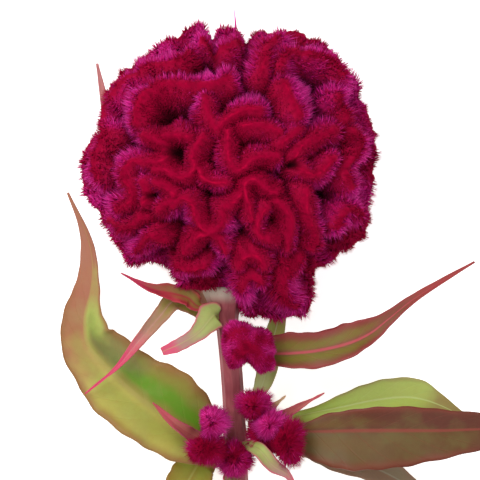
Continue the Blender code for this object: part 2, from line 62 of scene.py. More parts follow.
# The front view's grid, in metres a step, and the middle of the head on it.
GRID = 0.0004
HEAD_MIDDLE = (229, 172)
HEAD_HEIGHT = 0.041
HEAD_FRONT_DEPTH = 0.044
HEAD_BACK_DEPTH = 0.0435
FOLD_DEPTH = 0.015
FOLD_HALF_WIDTH = 0.0105
FOLD_FULL_SPACING = 0.0075
FOLD_ARM = 0.014
FOLD_LEAN = 0.22
RIM_LEAN = 0.16
FINE_RELIEF = 0.0007
PIT_DEPTH = 0.006
FLORET_REACH = 0.0003
REST_SPOT_RADIUS = 0.009
FLOOR_GAP = 0.0003
SMOOTH_BELOW = 0.003
FULL_NOTCH = 0.004
COMB_SUBDIVISIONS = 7

# Ways from a growing edge, in metres, over which the outer flank and the inner side begin.
FLANK_ZONE = (0.0002, 0.0044)
INNER_ZONE = (0.0035, 0.0085)
# Ways from the head's middle over which its outer part and its rim begin.
OUTER_ZONE = (0.03, 0.05)
RIM_ZONE = (0.036, 0.054)
# No florets grow lower than this, nor this near to the neck below the neck's top.
BARE_BELOW = 0.0028
BARE_NECK = 0.009
NECK_TOP = 0.037

# Outlines of the head and of the upper side tuft: degrees round it and grid steps out.
HEAD_OUTLINE = (
    (0, 149), (15, 148), (25, 152), (34, 157), (46, 156), (61, 158), (76, 151), (90, 144),
    (103, 152), (118, 149), (133, 147), (148, 148), (162, 139), (173, 148), (187, 150),
    (196, 137), (206, 139), (218, 135), (226, 121), (236, 118), (247, 125), (256, 123), (263, 121),
    (270, 130), (278, 149), (289, 157), (297, 163), (302, 157), (307, 137), (313, 135),
    (322, 140), (335, 150), (347, 149),
)  # fmt: skip
TUFT_OUTLINE = (
    (0, 26), (14, 26), (36, 28), (60, 21), (78, 19), (95, 24), (117, 30), (140, 32), (155, 30),
    (189, 25), (214, 27), (230, 30), (242, 23), (262, 16), (280, 16), (297, 32), (318, 35),
    (336, 28),
)  # fmt: skip
# Growing edges of the front's folds, as places on the grid.
FRONT_CRESTS = (
    ((108, 98), (120, 82), (138, 71), (152, 66), (166, 65), (178, 61), (186, 51)),
    ((203, 42), (214, 47), (225, 48), (233, 44), (240, 38)),
    ((136, 124), (138, 107), (146, 93), (164, 85), (188, 86), (212, 86), (228, 79)),
    ((144, 137), (156, 141), (165, 148), (167, 155), (161, 162), (148, 164), (134, 163),
     (126, 170), (124, 180), (130, 188), (133, 197), (127, 206), (116, 211)),
    ((164, 138), (176, 137), (189, 139)),
    ((204, 138), (197, 147), (193, 158), (195, 169), (188, 178), (177, 178), (165, 171), (154, 171)),
    ((156, 184), (167, 189), (174, 196), (169, 204), (159, 211)),
    ((143, 184), (146, 193), (144, 205)),
    ((172, 208), (183, 200), (192, 204), (196, 217), (204, 231), (216, 232), (223, 222),
     (223, 211), (232, 205), (241, 196)),
    ((184, 253), (191, 245), (199, 237), (210, 236), (219, 241), (225, 252)),
    ((141, 248), (147, 239), (154, 236), (163, 241)),
    ((206, 99), (207, 113), (212, 124), (217, 131), (223, 124), (233, 117), (246, 111), (260, 112)),
    ((228, 133), (228, 147), (229, 160), (235, 171), (243, 170), (251, 162), (262, 158), (277, 157)),
    ((243, 128), (256, 127), (268, 129), (280, 134)),
    ((200, 172), (204, 180), (213, 184), (226, 184)),
    ((252, 222), (250, 209), (246, 197), (245, 186), (252, 181), (260, 184), (267, 191), (277, 195)),
    ((267, 209), (260, 218), (257, 230), (263, 239), (279, 241)),
    ((277, 203), (285, 211), (291, 220), (290, 233), (289, 248)),
    ((299, 131), (290, 138), (282, 145)),
    ((334, 131), (322, 137), (310, 143), (300, 149), (296, 158), (300, 168), (308, 175),
     (318, 175), (326, 169), (333, 160)),
    ((284, 84), (288, 95), (293, 106), (300, 117)),
    ((262, 72), (265, 59), (268, 47), (277, 40)),
    ((281, 66), (287, 56), (299, 52), (314, 57), (328, 66), (339, 78)),
    ((336, 98), (345, 107), (347, 119)),
    ((352, 132), (359, 146), (353, 160), (347, 174), (353, 188)),
    ((306, 192), (306, 207), (309, 222), (316, 236), (311, 250)),
    ((338, 228), (344, 215), (353, 210), (361, 215)),
    ((238, 268), (243, 259), (251, 256), (259, 259), (264, 267)),
    ((240, 291), (246, 283), (253, 280), (261, 283)),
    ((303, 259), (294, 268), (286, 277), (283, 290), (288, 303), (297, 308)),
    ((101, 104), (98, 118), (103, 133), (98, 148), (93, 162), (97, 178)),
    ((107, 222), (119, 229), (131, 227), (140, 219)),
    ((176, 268), (190, 271), (204, 268)),
)  # fmt: skip
# Deep gaps between folds: x, y and half width on the grid. Their florets also get painted shade.
PITS = (
    (173, 152, 9), (206, 195, 7), (246, 241, 6), (222, 108, 5), (273, 225, 5), (297, 166, 5),
    (340, 201, 6), (206, 56, 6), (325, 84, 5), (149, 199, 4), (177, 217, 4),
)  # fmt: skip
# Where the flanks of the front turn magenta: x, y and half width on the grid.
MAGENTA_PLACES = (
    (140, 76, 22), (175, 74, 22), (210, 74, 18), (118, 112, 20), (198, 97, 12), (245, 92, 18),
    (275, 100, 18), (300, 88, 20), (318, 112, 16), (165, 42, 22), (195, 35, 18), (283, 172, 13),
    (176, 228, 16), (150, 200, 10), (232, 237, 11), (287, 287, 14), (365, 150, 16),
    (335, 228, 16), (250, 305, 14), (297, 308, 15), (215, 272, 18), (180, 278, 14), (90, 170, 16),
    (95, 205, 14), (125, 245, 14), (345, 85, 16), (352, 200, 14), (280, 40, 18), (320, 50, 16),
)  # fmt: skip
# Notches in the rim: degrees round the head, depth in metres, under nought for a bulge, and
# half width in degrees.
NOTCHES = (
    (97.2, 0.0056, 2.1), (82.4, 0.0064, 2.8), (111, 0.0020, 2.2), (59, 0.0012, 2.4),
    (30, 0.0018, 3.0), (2, 0.0012, 2.2), (346, 0.0008, 2), (325, 0.0010, 2.6), (312, 0.0012, 2.2),
    (282, 0.0016, 2.4), (216, 0.0010, 2.6), (205, 0.0010, 2.4), (163, 0.0010, 2.4),
    (133, 0.0012, 2.2), (15, -0.0014, 8), (44, -0.0024, 12), (68, -0.0010, 6), (223, -0.0040, 4),
    (193, -0.0010, 4), (321, -0.0014, 4), (101, -0.0012, 3),
)  # fmt: skip
RIM_WAVES = 11
RIM_SWING = 0.16
RIM_TILT = -0.12
BACK_TURN = math.radians(38)

NECK = (222, 286, 0.0350)
CUT_END = (252, 640, 0.0057)
NECK_HALF_WIDTH = 0.0088
FLARE_LENGTH = 0.018
FLARE_DEPTH = 0.0012
FLARE_POWER = 1.6
STEM_RADIUS = 0.0042
STEM_RIDGE = 0.07
# The swollen part that the whorl grows from: its place, half length and bulge.
NODE_AT = 443
NODE_HALF_LENGTH = 10
NODE_BULGE = 0.0007
GAP = 0.0004
STALK_SHARE = 0.08
STALK_STRAIGHT = 0.004
STALK_HALF_WIDTH = 0.0010
TIP_HALF_WIDTH = 0.0005
BLADE_POWER = 0.82
BLADE_THICKNESS = 0.0005

AWN_ROOT = (236, 29, 0.039)
AWN_TIP = (234, 5, 0.043)
AWN_HALF_WIDTH = 0.00045
AWN_LOOK = (0.97, 1.0)

# Florets over the comb, in how many pieces, and a root's half width, flatness and depth.
FLORETS = 148_000
FLORET_PIECES = 4
FLORET_HALF_WIDTH = 0.00030
FLORET_FLATNESS = 0.6
FLORET_ROOT = 0.0004
# Painted shade on the core under the florets: its share of their painted light.
CORE_LIGHT = 0.45
# Share of the front's florets that the hidden back has, and the heights between which it changes.
BACK_SHARE = 0.5
BACK_HEIGHTS = (0.022, 0.038)
TUFT_FLORETS = 4600
TUFT_HALF_WIDTH = 0.00022
TUFT_MARGIN = 0.0009
TUFT_SUBDIVISIONS = 4

# The view is as many grid steps wide as the photo has pixels, and the light falls on one place.
VIEW_WIDTH = 480
SENSOR_MM = 36.0
LENS_MM = 300.0
LIT_PLACE = Vector((0, -0.03, 0.04))


def on_floor(x: float, y: float, height: float = 0.0) -> np.ndarray:
    """Finds the point over the floor for a place on the front view's grid.

    Args:
        x: Grid steps from the left.
        y: Grid steps from the top.
        height: Height over the floor, in metres.

    Returns:
        The point, in metres.
    """
    return np.array([(x - HEAD_MIDDLE[0]) * GRID, (HEAD_MIDDLE[1] - y) * GRID, height])


def smooth_run(points: np.ndarray, samples: int) -> np.ndarray:
    """Samples a Catmull-Rom curve through given points.

    Args:
        points: The points, one a row.
        samples: How many samples to take, ends included.

    Returns:
        The samples, one a row.
    """
    p = np.array(points, float)
    p = np.vstack([2 * p[0] - p[1], p, 2 * p[-1] - p[-2]])
    spans = len(p) - 3
    t = np.linspace(0, spans, samples)
    k = np.minimum(t.astype(int), spans - 1)
    f = (t - k)[:, None]
    a, b, c, d = p[k], p[k + 1], p[k + 2], p[k + 3]
    return 0.5 * (
        2 * b + (c - a) * f + (2 * a - 5 * b + 4 * c - d) * f**2 + (3 * b - a - 3 * c + d) * f**3
    )


def outline_at(outline: tuple, angle: np.ndarray) -> np.ndarray:
    """Reads a half width off an outline.

    Args:
        outline: Pairs of degrees and grid steps, in rising order of degrees.
        angle: Angles in radians.

    Returns:
        Half widths in grid steps.
    """
    degrees, radii = zip(*outline)
    return np.interp(np.degrees(angle) % 360, degrees, radii, period=360)


def unit(rows: np.ndarray) -> np.ndarray:
    """Scales each row to length one.

    Args:
        rows: Vectors, one a row.

    Returns:
        The unit vectors.
    """
    return rows / np.maximum(np.linalg.norm(rows, axis=-1, keepdims=True), 1e-12)


def step(x: np.ndarray, low: float, high: float) -> np.ndarray:
    """Rises smoothly from 0 to 1.

    Args:
        x: Where to read it.
        low: Where the rise starts.
        high: Where the rise ends.

    Returns:
        Values from 0 to 1.
    """
    t = np.clip((x - low) / (high - low), 0, 1)
    return t * t * (3 - 2 * t)


def ripple(places: np.ndarray, pitch: float, seed: int) -> np.ndarray:
    """Soft patches without a repeat to the eye.

    Args:
        places: Where to read them, one a row.
        pitch: Waves a metre, times two pi.
        seed: Picks another set of waves.

    Returns:
        Values about 0 to 1.
    """
    rng = np.random.default_rng(seed)
    waves = unit(rng.normal(0, 1, (6, 3))) * pitch * rng.uniform(0.6, 1.6, (6, 1))
    total = np.sin(places @ waves.T + rng.uniform(0, 2 * math.pi, 6)).sum(1)
    return np.clip(0.5 + total / 6, 0, 1)


def linear(code: str) -> tuple[float, float, float, float]:
    """Turns an sRGB hex code into linear light.

    Args:
        code: Six hex digits after a hash.

    Returns:
        Red, green, blue and alpha.
    """
    parts = [int(code[k : k + 2], 16) / 255 for k in (1, 3, 5)]
    return (*[p / 12.92 if p <= 0.04045 else ((p + 0.055) / 1.055) ** 2.4 for p in parts], 1.0)


class Graph:
    """A material's node tree, built from the shader back to its colours."""

    def __init__(self, name: str) -> None:
        """Starts a material.

        Args:
            name: What the real stuff is.
        """
        self.material = bpy.data.materials.new(name)
        self.material.use_nodes = True
        self.tree = self.material.node_tree
        self.shader = self.tree.nodes["Principled BSDF"]

    def plug(self, socket: bpy.types.NodeSocket, value: object) -> None:
        """Sets an input, or links another node's output to it.

        Args:
            socket: The input.
            value: A constant, a hex code or another node's socket.
        """
        if isinstance(value, bpy.types.NodeSocket):
            self.tree.links.new(value, socket)
        else:
            socket.default_value = linear(value) if isinstance(value, str) else value

    def node(self, kind: str, inputs: dict, **settings: object) -> bpy.types.Node:
        """Adds a node.

        Args:
            kind: The node's type.
            inputs: Socket name or number to what is plugged in there.
            **settings: Properties set on the node first.

        Returns:
            The node.
        """
        made = self.tree.nodes.new(kind)
        for key, value in settings.items():
            setattr(made, key, value)
        for key, value in inputs.items():
            self.plug(made.inputs[key], value)
        return made

    def math(self, operation: str, *values: object) -> bpy.types.NodeSocket:
        """Works out one, two or three values.

        Args:
            operation: What to do.
            *values: Constants or sockets.

        Returns:
            The result's socket.
        """
        return self.node("ShaderNodeMath", dict(enumerate(values)), operation=operation).outputs[0]

    def times(self, *factors: object) -> bpy.types.NodeSocket:
        """Multiplies values.

        Args:
            *factors: Constants or sockets, two or more.

        Returns:
            The product's socket.
        """
        product = factors[0]
        for factor in factors[1:]:
            product = self.math("MULTIPLY", product, factor)
        return product

    def ramp(self, value: object, low: float, high: float,
             start: float = 0.0) -> bpy.types.NodeSocket:  # fmt: skip
        """Adds a smooth rise to 1.

        Args:
            value: The socket read.
            low: Where the rise starts.
            high: Where the rise ends.
            start: The value it rises from.

        Returns:
            The result's socket.
        """
        inputs = {"Value": value, "From Min": low, "From Max": high, "To Min": start}
        made = self.node("ShaderNodeMapRange", inputs, interpolation_type="SMOOTHSTEP")
        return made.outputs[0]

    def fall(self, value: object, low: float, high: float) -> bpy.types.NodeSocket:
        """Adds a smooth fall from 1 to 0.

        Args:
            value: The socket read.
            low: Where the fall starts.
            high: Where the fall ends.

        Returns:
            The result's socket.
        """
        return self.math("SUBTRACT", 1.0, self.ramp(value, low, high))

    def mix(self, share: object, first: object, second: object) -> bpy.types.NodeSocket:
        """Adds a mix of two colours.

        Args:
            share: 0 for the first and 1 for the second.
            first: A hex code or a socket.
            second: A hex code or a socket.

        Returns:
            The colour's socket.
        """
        inputs = {0: share, 6: first, 7: second}
        return self.node("ShaderNodeMix", inputs, data_type="RGBA").outputs[2]

    def noise(self, size_mm: float, detail: float = 2.0) -> bpy.types.NodeSocket:
        """Adds a noise in the object's own coordinates.

        Args:
            size_mm: Size of its patches, in millimetres.
            detail: Finer steps added.

        Returns:
            The noise's socket, around 0.5.
        """
        place = self.node("ShaderNodeTexCoord", {}).outputs["Object"]
        inputs = {"Vector": place, "Scale": 1000 / size_mm, "Detail": detail}
        return self.node("ShaderNodeTexNoise", inputs).outputs[0]

    def own_map(self, name: str) -> tuple[bpy.types.NodeSocket, bpy.types.NodeSocket]:
        """Reads one of the piece's own maps.

        Args:
            name: The map's name.

        Returns:
            The sockets across it and up it.
        """
        place = self.node("ShaderNodeUVMap", {}, uv_map=name).outputs[0]
        split = self.node("ShaderNodeSeparateXYZ", {0: place})
        return split.outputs[0], split.outputs[1]

    def shade(self, **sockets: object) -> bpy.types.Material:
        """Finishes the shader.

        Args:
            **sockets: What is plugged into the shader's inputs, with underscores for spaces.

        Returns:
            The material.
        """
        for key, value in sockets.items():
            self.plug(self.shader.inputs[key.replace("_", " ")], value)
        return self.material


class Slot(Enum):
    """The record's material slots."""

    VELVET = "comb_velvet"
    STEM = "stem"
    GREEN = "leaf_green"
    RED_BROWN = "leaf_red_brown"
    GREY_GREEN = "leaf_grey_green"


@dataclass(frozen=True)
class VelvetFinish:
    """Velvet florets, coloured by the OFBake map: across it from the growing edge to the magenta
    flank, and up it by painted light, from painted shade at a floret's root to its lit tip."""

    edge: str = "#B60436"
    bands: tuple = ((0.02, 0.16, "#98002E"), (0.15, 0.5, "#A60C3A"), (0.4, 0.95, "#D41A8A"))
    pale: str = "#FF56BC"
    pale_share: float = 0.75
    # Painted shade: near-black red at the florets' roots and wherever their painted light is low.
    gap: str = "#1C0006"
    sheen: str = "#FF3C8A"

    def material(self) -> bpy.types.Material:
        """Builds the velvet.

        Returns:
            The material.
        """
        graph = Graph("celosia_velvet")
        # The map's second axis is painted light: each floret's light value, rising from root to tip.
        tone, tip = graph.own_map("OFBake")
        colour = self.edge
        for low, high, code in self.bands:
            colour = graph.mix(graph.ramp(tone, low, high), colour, code)
        # Pale tips on the magenta flanks, strongest where the painted light is high: partly the florets' own
        # pale tips, partly a painted highlight.
        pale = graph.times(graph.ramp(tone, 0.55, 0.95), graph.ramp(tip, 0.4, 0.95), self.pale_share)
        colour = graph.mix(pale, colour, self.pale)
        # Painted shade: the colour sinks to the dark gap colour towards the roots and where the painted
        # light is low.
        colour = graph.mix(graph.ramp(tip, 0.0, 0.6), self.gap, colour)
        return graph.shade(
            Base_Color=colour, Roughness=0.85, Sheen_Weight=0.03, Sheen_Roughness=0.4,
            Sheen_Tint=self.sheen, Specular_IOR_Level=0.04,
        )  # fmt: skip


@dataclass(frozen=True)
class LeafFinish:
    """A leaf's colours. Each half runs from its base colour to its end colour, and the whole leaf
    ends in the tip's. The heart colour lies along the middle of each half, and a painted shadow may
    cross the right half: its place along the leaf, half length, strength and colour."""

    name: str
    left: tuple[str, str]
    right: tuple[str, str]
    heart: str
    tip: str
    rim: str
    rib: str
    rim_width: float = 0.3
    heart_share: float = 0.6
    rib_width: float = 0.05
    vein_share: float = 0.10
    rib_share: float = 0.75
    turn: tuple[float, float] = (0.3, 0.75)
    left_heart: float = 1.0
    tip_from: float = 0.75
    blotch: str = "#7E7C44"
    blotch_share: float = 0.0
    # A painted shadow across the right half; strength nought leaves it out.
    shadow_band: tuple[float, float, float, str] = (0.0, 0.1, 0.0, "#6A5044")
    drift_mm: float = 11.0
    blotch_mm: float = 13.0
    mottle_mm: float = 1.6
    veins: float = 15.0
    vein_slant: float = 1.9

    def material(self) -> bpy.types.Material:
        """Builds the leaf skin from its own map, which runs across and along the blade.

        Returns:
            The material.
        """
        graph = Graph(self.name)
        across, length = graph.own_map("blade")
        drift = graph.math("MULTIPLY_ADD", graph.noise(self.drift_mm), 0.24, -0.12)
        side = graph.math("MULTIPLY_ADD", across, 2.0, -1.0)
        along = graph.math("ADD", length, drift)
        away = graph.math("ABSOLUTE", side)
        loose = graph.math("ADD", away, drift)
        half_way = graph.ramp(along, *self.turn)
        left, right = graph.mix(half_way, *self.left), graph.mix(half_way, *self.right)
        colour = graph.mix(graph.ramp(side, -0.15, 0.15), left, right)
        heart = graph.times(
            graph.ramp(loose, 0.08, 0.3), graph.fall(loose, 0.4, 0.75), graph.fall(along, 0.45, 0.7),
            graph.ramp(side, -0.1, 0.1, self.left_heart), self.heart_share,
        )  # fmt: skip
        colour = graph.mix(heart, colour, self.heart)
        # Painted shadow: brown across the right half, strongest at its middle along the leaf.
        middle, reach, strength, shadow_colour = self.shadow_band
        off = graph.math("ABSOLUTE", graph.math("SUBTRACT", along, middle))
        shadow_band = graph.times(graph.fall(off, 0.2 * reach, reach), graph.ramp(side, 0.0, 0.25), strength)
        colour = graph.mix(shadow_band, colour, shadow_colour)
        patches = graph.ramp(graph.noise(self.blotch_mm, 3.0), 0.42, 0.66)
        colour = graph.mix(graph.times(patches, self.blotch_share), colour, self.blotch)
        mottle = graph.ramp(graph.noise(self.mottle_mm, 4.0), 0.3, 0.75)
        colour = graph.mix(graph.times(mottle, 0.10), colour, self.rim)
        slant = graph.math("MULTIPLY_ADD", away, -self.vein_slant, graph.times(length, self.veins))
        wave = graph.math("ABSOLUTE", graph.math("SINE", graph.times(slant, math.pi)))
        vein = graph.fall(wave, 0.0, 0.25)
        colour = graph.mix(graph.times(vein, self.vein_share), colour, self.rib)
        rim = graph.ramp(loose, 1 - self.rim_width * 1.3, 1.0)
        colour = graph.mix(graph.times(rim, 0.85), colour, self.rim)
        ending = graph.ramp(along, self.tip_from, self.tip_from + 0.6 * (1 - self.tip_from))
        colour = graph.mix(ending, colour, self.tip)
        rib = graph.fall(away, self.rib_width * 0.4, self.rib_width * 1.8)
        colour = graph.mix(graph.times(rib, self.rib_share), colour, self.rib)
        relief = graph.math("MULTIPLY_ADD", vein, -0.5, graph.times(mottle, 0.25))
        bump = graph.node("ShaderNodeBump", {"Strength": 0.3, "Distance": 0.0004, "Height": relief})
        return graph.shade(
            Base_Color=colour, Roughness=0.55, Normal=bump.outputs[0], Specular_IOR_Level=0.25,
            Subsurface_Weight=0.08, Subsurface_Scale=0.001,
        )  # fmt: skip


@dataclass(frozen=True)
class StemFinish:
    """The stem's ribbed skin, whitish at the neck."""

    red: str = "#8E4148"
    light: str = "#A65A5E"
    dark: str = "#6E2A33"
    neck: str = "#B8A898"
    neck_from: tuple[float, float] = (-0.0535, -0.0485)
    patch_mm: float = 9.0

    def material(self) -> bpy.types.Material:
        """Builds the stem skin, in the object's own coordinates.

        Returns:
            The material.
        """
        graph = Graph("celosia_stem_skin")
        place = graph.node("ShaderNodeTexCoord", {}).outputs["Object"]
        streaks = graph.node("ShaderNodeMapping", {0: place, 3: (900.0, 25.0, 900.0)}).outputs[0]
        inputs = {"Vector": streaks, "Scale": 1.0, "Detail": 2.0}
        fine = graph.node("ShaderNodeTexNoise", inputs).outputs[0]
        colour = graph.mix(graph.times(graph.ramp(fine, 0.35, 0.75), 0.5), self.red, self.light)
        patch = graph.ramp(graph.noise(self.patch_mm), 0.45, 0.75)
        colour = graph.mix(graph.times(patch, 0.5), colour, self.dark)
        height = graph.node("ShaderNodeSeparateXYZ", {0: place}).outputs[1]
        colour = graph.mix(graph.ramp(height, *self.neck_from), colour, self.neck)
        bump = graph.node("ShaderNodeBump", {"Strength": 0.2, "Distance": 0.0003, "Height": fine})
        return graph.shade(
            Base_Color=colour, Roughness=0.5, Normal=bump.outputs[0], Specular_IOR_Level=0.3
        )


def make_object(name: str, bm: bmesh.types.BMesh, material: bpy.types.Material) -> bpy.types.Object:
    """Turns a bmesh into a smooth-shaded object at the origin.

    Args:
        name: The object's name.
        bm: Its mesh, freed here.
        material: Its material.

    Returns:
        The object.
    """
    mesh = bpy.data.meshes.new(name)
    bm.to_mesh(mesh)
    bm.free()
    mesh.shade_smooth()
    mesh.materials.append(material)
    made = bpy.data.objects.new(name, mesh)
    bpy.context.scene.collection.objects.link(made)
    return made


def publish(piece: bpy.types.Object, node: str) -> None:
    """Lets a piece stand for a node of the frame.

    Args:
        piece: The piece.
        node: The node's name.
    """
    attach(piece, "root")
    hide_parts(node)
    piece.data.calc_loop_triangles()
    LOG.info("%s stands for %s with %d triangles", piece.name, node, len(piece.data.loop_triangles))


def ball(subdivisions: int) -> tuple[bmesh.types.BMesh, np.ndarray]:
    """Makes a unit ball.

    Args:
        subdivisions: How fine it is.

    Returns:
        The bmesh and the unit direction of each vertex.
    """
    bm = bmesh.new()
    bmesh.ops.create_icosphere(bm, subdivisions=subdivisions, radius=1.0)
    return bm, unit(np.array([v.co for v in bm.verts]))


def move(bm: bmesh.types.BMesh, placed: np.ndarray) -> tuple[np.ndarray, np.ndarray]:
    """Moves a ball's vertices.

    Args:
        bm: The ball.
        placed: Where each vertex goes, one a row.

    Returns:
        The triangles, and each vertex's new normal.
    """
    for vert, place in zip(bm.verts, placed):
        vert.co = place
    bm.normal_update()
    triangles = np.array([[v.index for v in f.verts] for f in bm.faces])
    return triangles, np.array([v.normal for v in bm.verts])


@dataclass
class Folds:
    """The comb's growing edges as curves about the head's middle."""

    points: np.ndarray = field(init=False)
    line: np.ndarray = field(init=False)
    along: np.ndarray = field(init=False)

    def __post_init__(self) -> None:
        """Lays the front's curves, their turned copies on the back, and the rim's."""
        front = [self.front_directions(line) for line in FRONT_CRESTS]
        c, s = math.cos(BACK_TURN), math.sin(BACK_TURN)
        turn = np.array([[c, -s, 0], [s, c, 0], [0, 0, 1]])
        back = [(line * (-1, 1, -1)) @ turn.T for line in front]
        lines = [self.surface(line) for line in [*front, *back, self.rim_directions()]]
        steps = [np.linalg.norm(np.diff(line, axis=0, prepend=line[:1]), axis=1) for line in lines]
        self.points = np.vstack(lines)
        self.line = np.repeat(np.arange(len(lines)), [len(line) for line in lines])
        self.along = np.concatenate([np.cumsum(run) for run in steps])

    @staticmethod
    def radius(angle: np.ndarray) -> np.ndarray:
        """Half width of the head's outline, less its florets.

        Args:
            angle: Angles in radians.

        Returns:
            Metres.
        """
        return outline_at(HEAD_OUTLINE, angle) * GRID - FLORET_REACH

    @classmethod
    def surface(cls, u: np.ndarray) -> np.ndarray:
        """The head's smooth envelope.

        Args:
            u: Unit directions.

        Returns:
            Points about the head's middle.
        """
        radius = cls.radius(np.arctan2(u[:, 1], u[:, 0]))
        depth = np.where(u[:, 2] > 0, HEAD_FRONT_DEPTH, HEAD_BACK_DEPTH) - FLORET_REACH
        return np.column_stack([u[:, 0] * radius, u[:, 1] * radius, u[:, 2] * depth])

    @classmethod
    def front_directions(cls, line: tuple) -> np.ndarray:
        """Unit directions for a curve laid out on the front view.

        Args:
            line: Its places on the grid.

        Returns:
            Directions, one a row.
        """
        run = smooth_run(line, 6 * len(line))
        x, y = (run[:, 0] - HEAD_MIDDLE[0]) * GRID, (HEAD_MIDDLE[1] - run[:, 1]) * GRID
        angle = np.arctan2(y, x)
        share = np.minimum(np.hypot(x, y) / cls.radius(angle), 0.985)
        return np.column_stack([share * np.cos(angle), share * np.sin(angle), np.sqrt(1 - share**2)])

    @staticmethod
    def rim_directions() -> np.ndarray:
        """Unit directions for the fold that winds round the rim.

        Returns:
            Directions, one a row.
        """
        a = np.linspace(0, 2 * math.pi, 400)
        lift = RIM_TILT + RIM_SWING * np.sin(RIM_WAVES * a) * np.cos(2 * a + 1)
        return np.column_stack([np.cos(a) * np.cos(lift), np.sin(a) * np.cos(lift), np.sin(lift)])

    def nearest(self, places: np.ndarray) -> tuple[np.ndarray, np.ndarray, np.ndarray]:
        """Measures how far places lie from the folds' growing edges.

        Args:
            places: Points about the head's middle.

        Returns:
            The nearest edge point, its distance, and the distance of the next fold's edge.
        """
        found = np.empty(len(places), int)
        nearest = np.empty(len(places))
        second = np.empty(len(places))
        lean = FOLD_LEAN + RIM_LEAN * step(np.hypot(places[:, 0], places[:, 1]), 0.015, 0.045)
        outward = places * (1, 1, 0) * (lean / np.linalg.norm(places, axis=1))[:, None]
        for k in range(0, len(places), 512):
            offset = places[k : k + 512, None, :] - self.points[None]
            gap = np.linalg.norm(offset, axis=2)
            gap -= np.einsum("nmc,nc->nm", offset, outward[k : k + 512])
            first = gap.argmin(1)
            same = self.line[None] == self.line[first][:, None]
            same &= np.abs(self.along[None] - self.along[first][:, None]) < FOLD_ARM
            found[k : k + 512] = first
            nearest[k : k + 512] = gap.min(1)
            second[k : k + 512] = np.where(same, 1.0, gap).min(1)
        return self.points[found], nearest, second

    @staticmethod
    def spots(points: np.ndarray, places: tuple, power: int) -> np.ndarray:
        """How near points are to round places on the front view.

        Args:
            points: Points about the head's middle.
            places: Each one's x, y and half width on the grid.
            power: How steeply a place ends.

        Returns:
            Shares from 0 to 1.
        """
        share = np.zeros(len(points))
        for x, y, wide in places:
            at = on_floor(x, y)
            gap = np.hypot(points[:, 0] - at[0], points[:, 1] - at[1]) / (wide * GRID)
            share = np.maximum(share, np.exp(-(gap**power)))
        return share

    @classmethod
    def pit_depth(cls, points: np.ndarray) -> np.ndarray:
        """How far the deep gaps sink places on the front of the head.

        Args:
            points: Points about the head's middle.

        Returns:
            Metres.
        """
        return np.where(points[:, 2] > 0, PIT_DEPTH * cls.spots(points, PITS, 2), 0)

    @classmethod
    def magenta(cls, points: np.ndarray) -> np.ndarray:
        """How magenta the flanks are.

        Args:
            points: Points about the head's middle.

        Returns:
            Shares from 0 to 1.
        """
        behind = step(-points[:, 2], 0.0, 0.012)
        return np.maximum(cls.spots(points, MAGENTA_PLACES, 4), 0.8 * behind)

    @staticmethod
    def height(first: np.ndarray, second: np.ndarray, outer: np.ndarray) -> np.ndarray:
        """Height of the folds over their grooves, fuller on the outer flank.

        Args:
            first: Distance to the nearest edge.
            second: Distance to the next fold's edge.
            outer: 1 on the flank away from the head's middle, 0 on the one towards it.

        Returns:
            Heights from 0 to 1.
        """
        between = np.maximum(2 * first / (first + second), 0)
        alone = np.clip(first / FOLD_HALF_WIDTH, 0, 1)
        far = np.minimum(np.maximum(between, alone), 1)
        profile = (1 - far ** (1.5 + 1.5 * outer)) ** 0.75 * (1 - 0.16 * far**0.7)
        full = np.clip((first + second) / 2 / FOLD_FULL_SPACING, 0, 1)
        return 1 - full * (1 - profile)


@dataclass
class Coat:
    """A core's triangles, and at each of its vertices the place, the normal, and the lean, length,
    tone, painted light and share of the florets that grow there."""

    triangles: np.ndarray
    place: np.ndarray
    normal: np.ndarray
    lean: np.ndarray
    length: np.ndarray
    tone: np.ndarray
    light: np.ndarray
    grown: np.ndarray


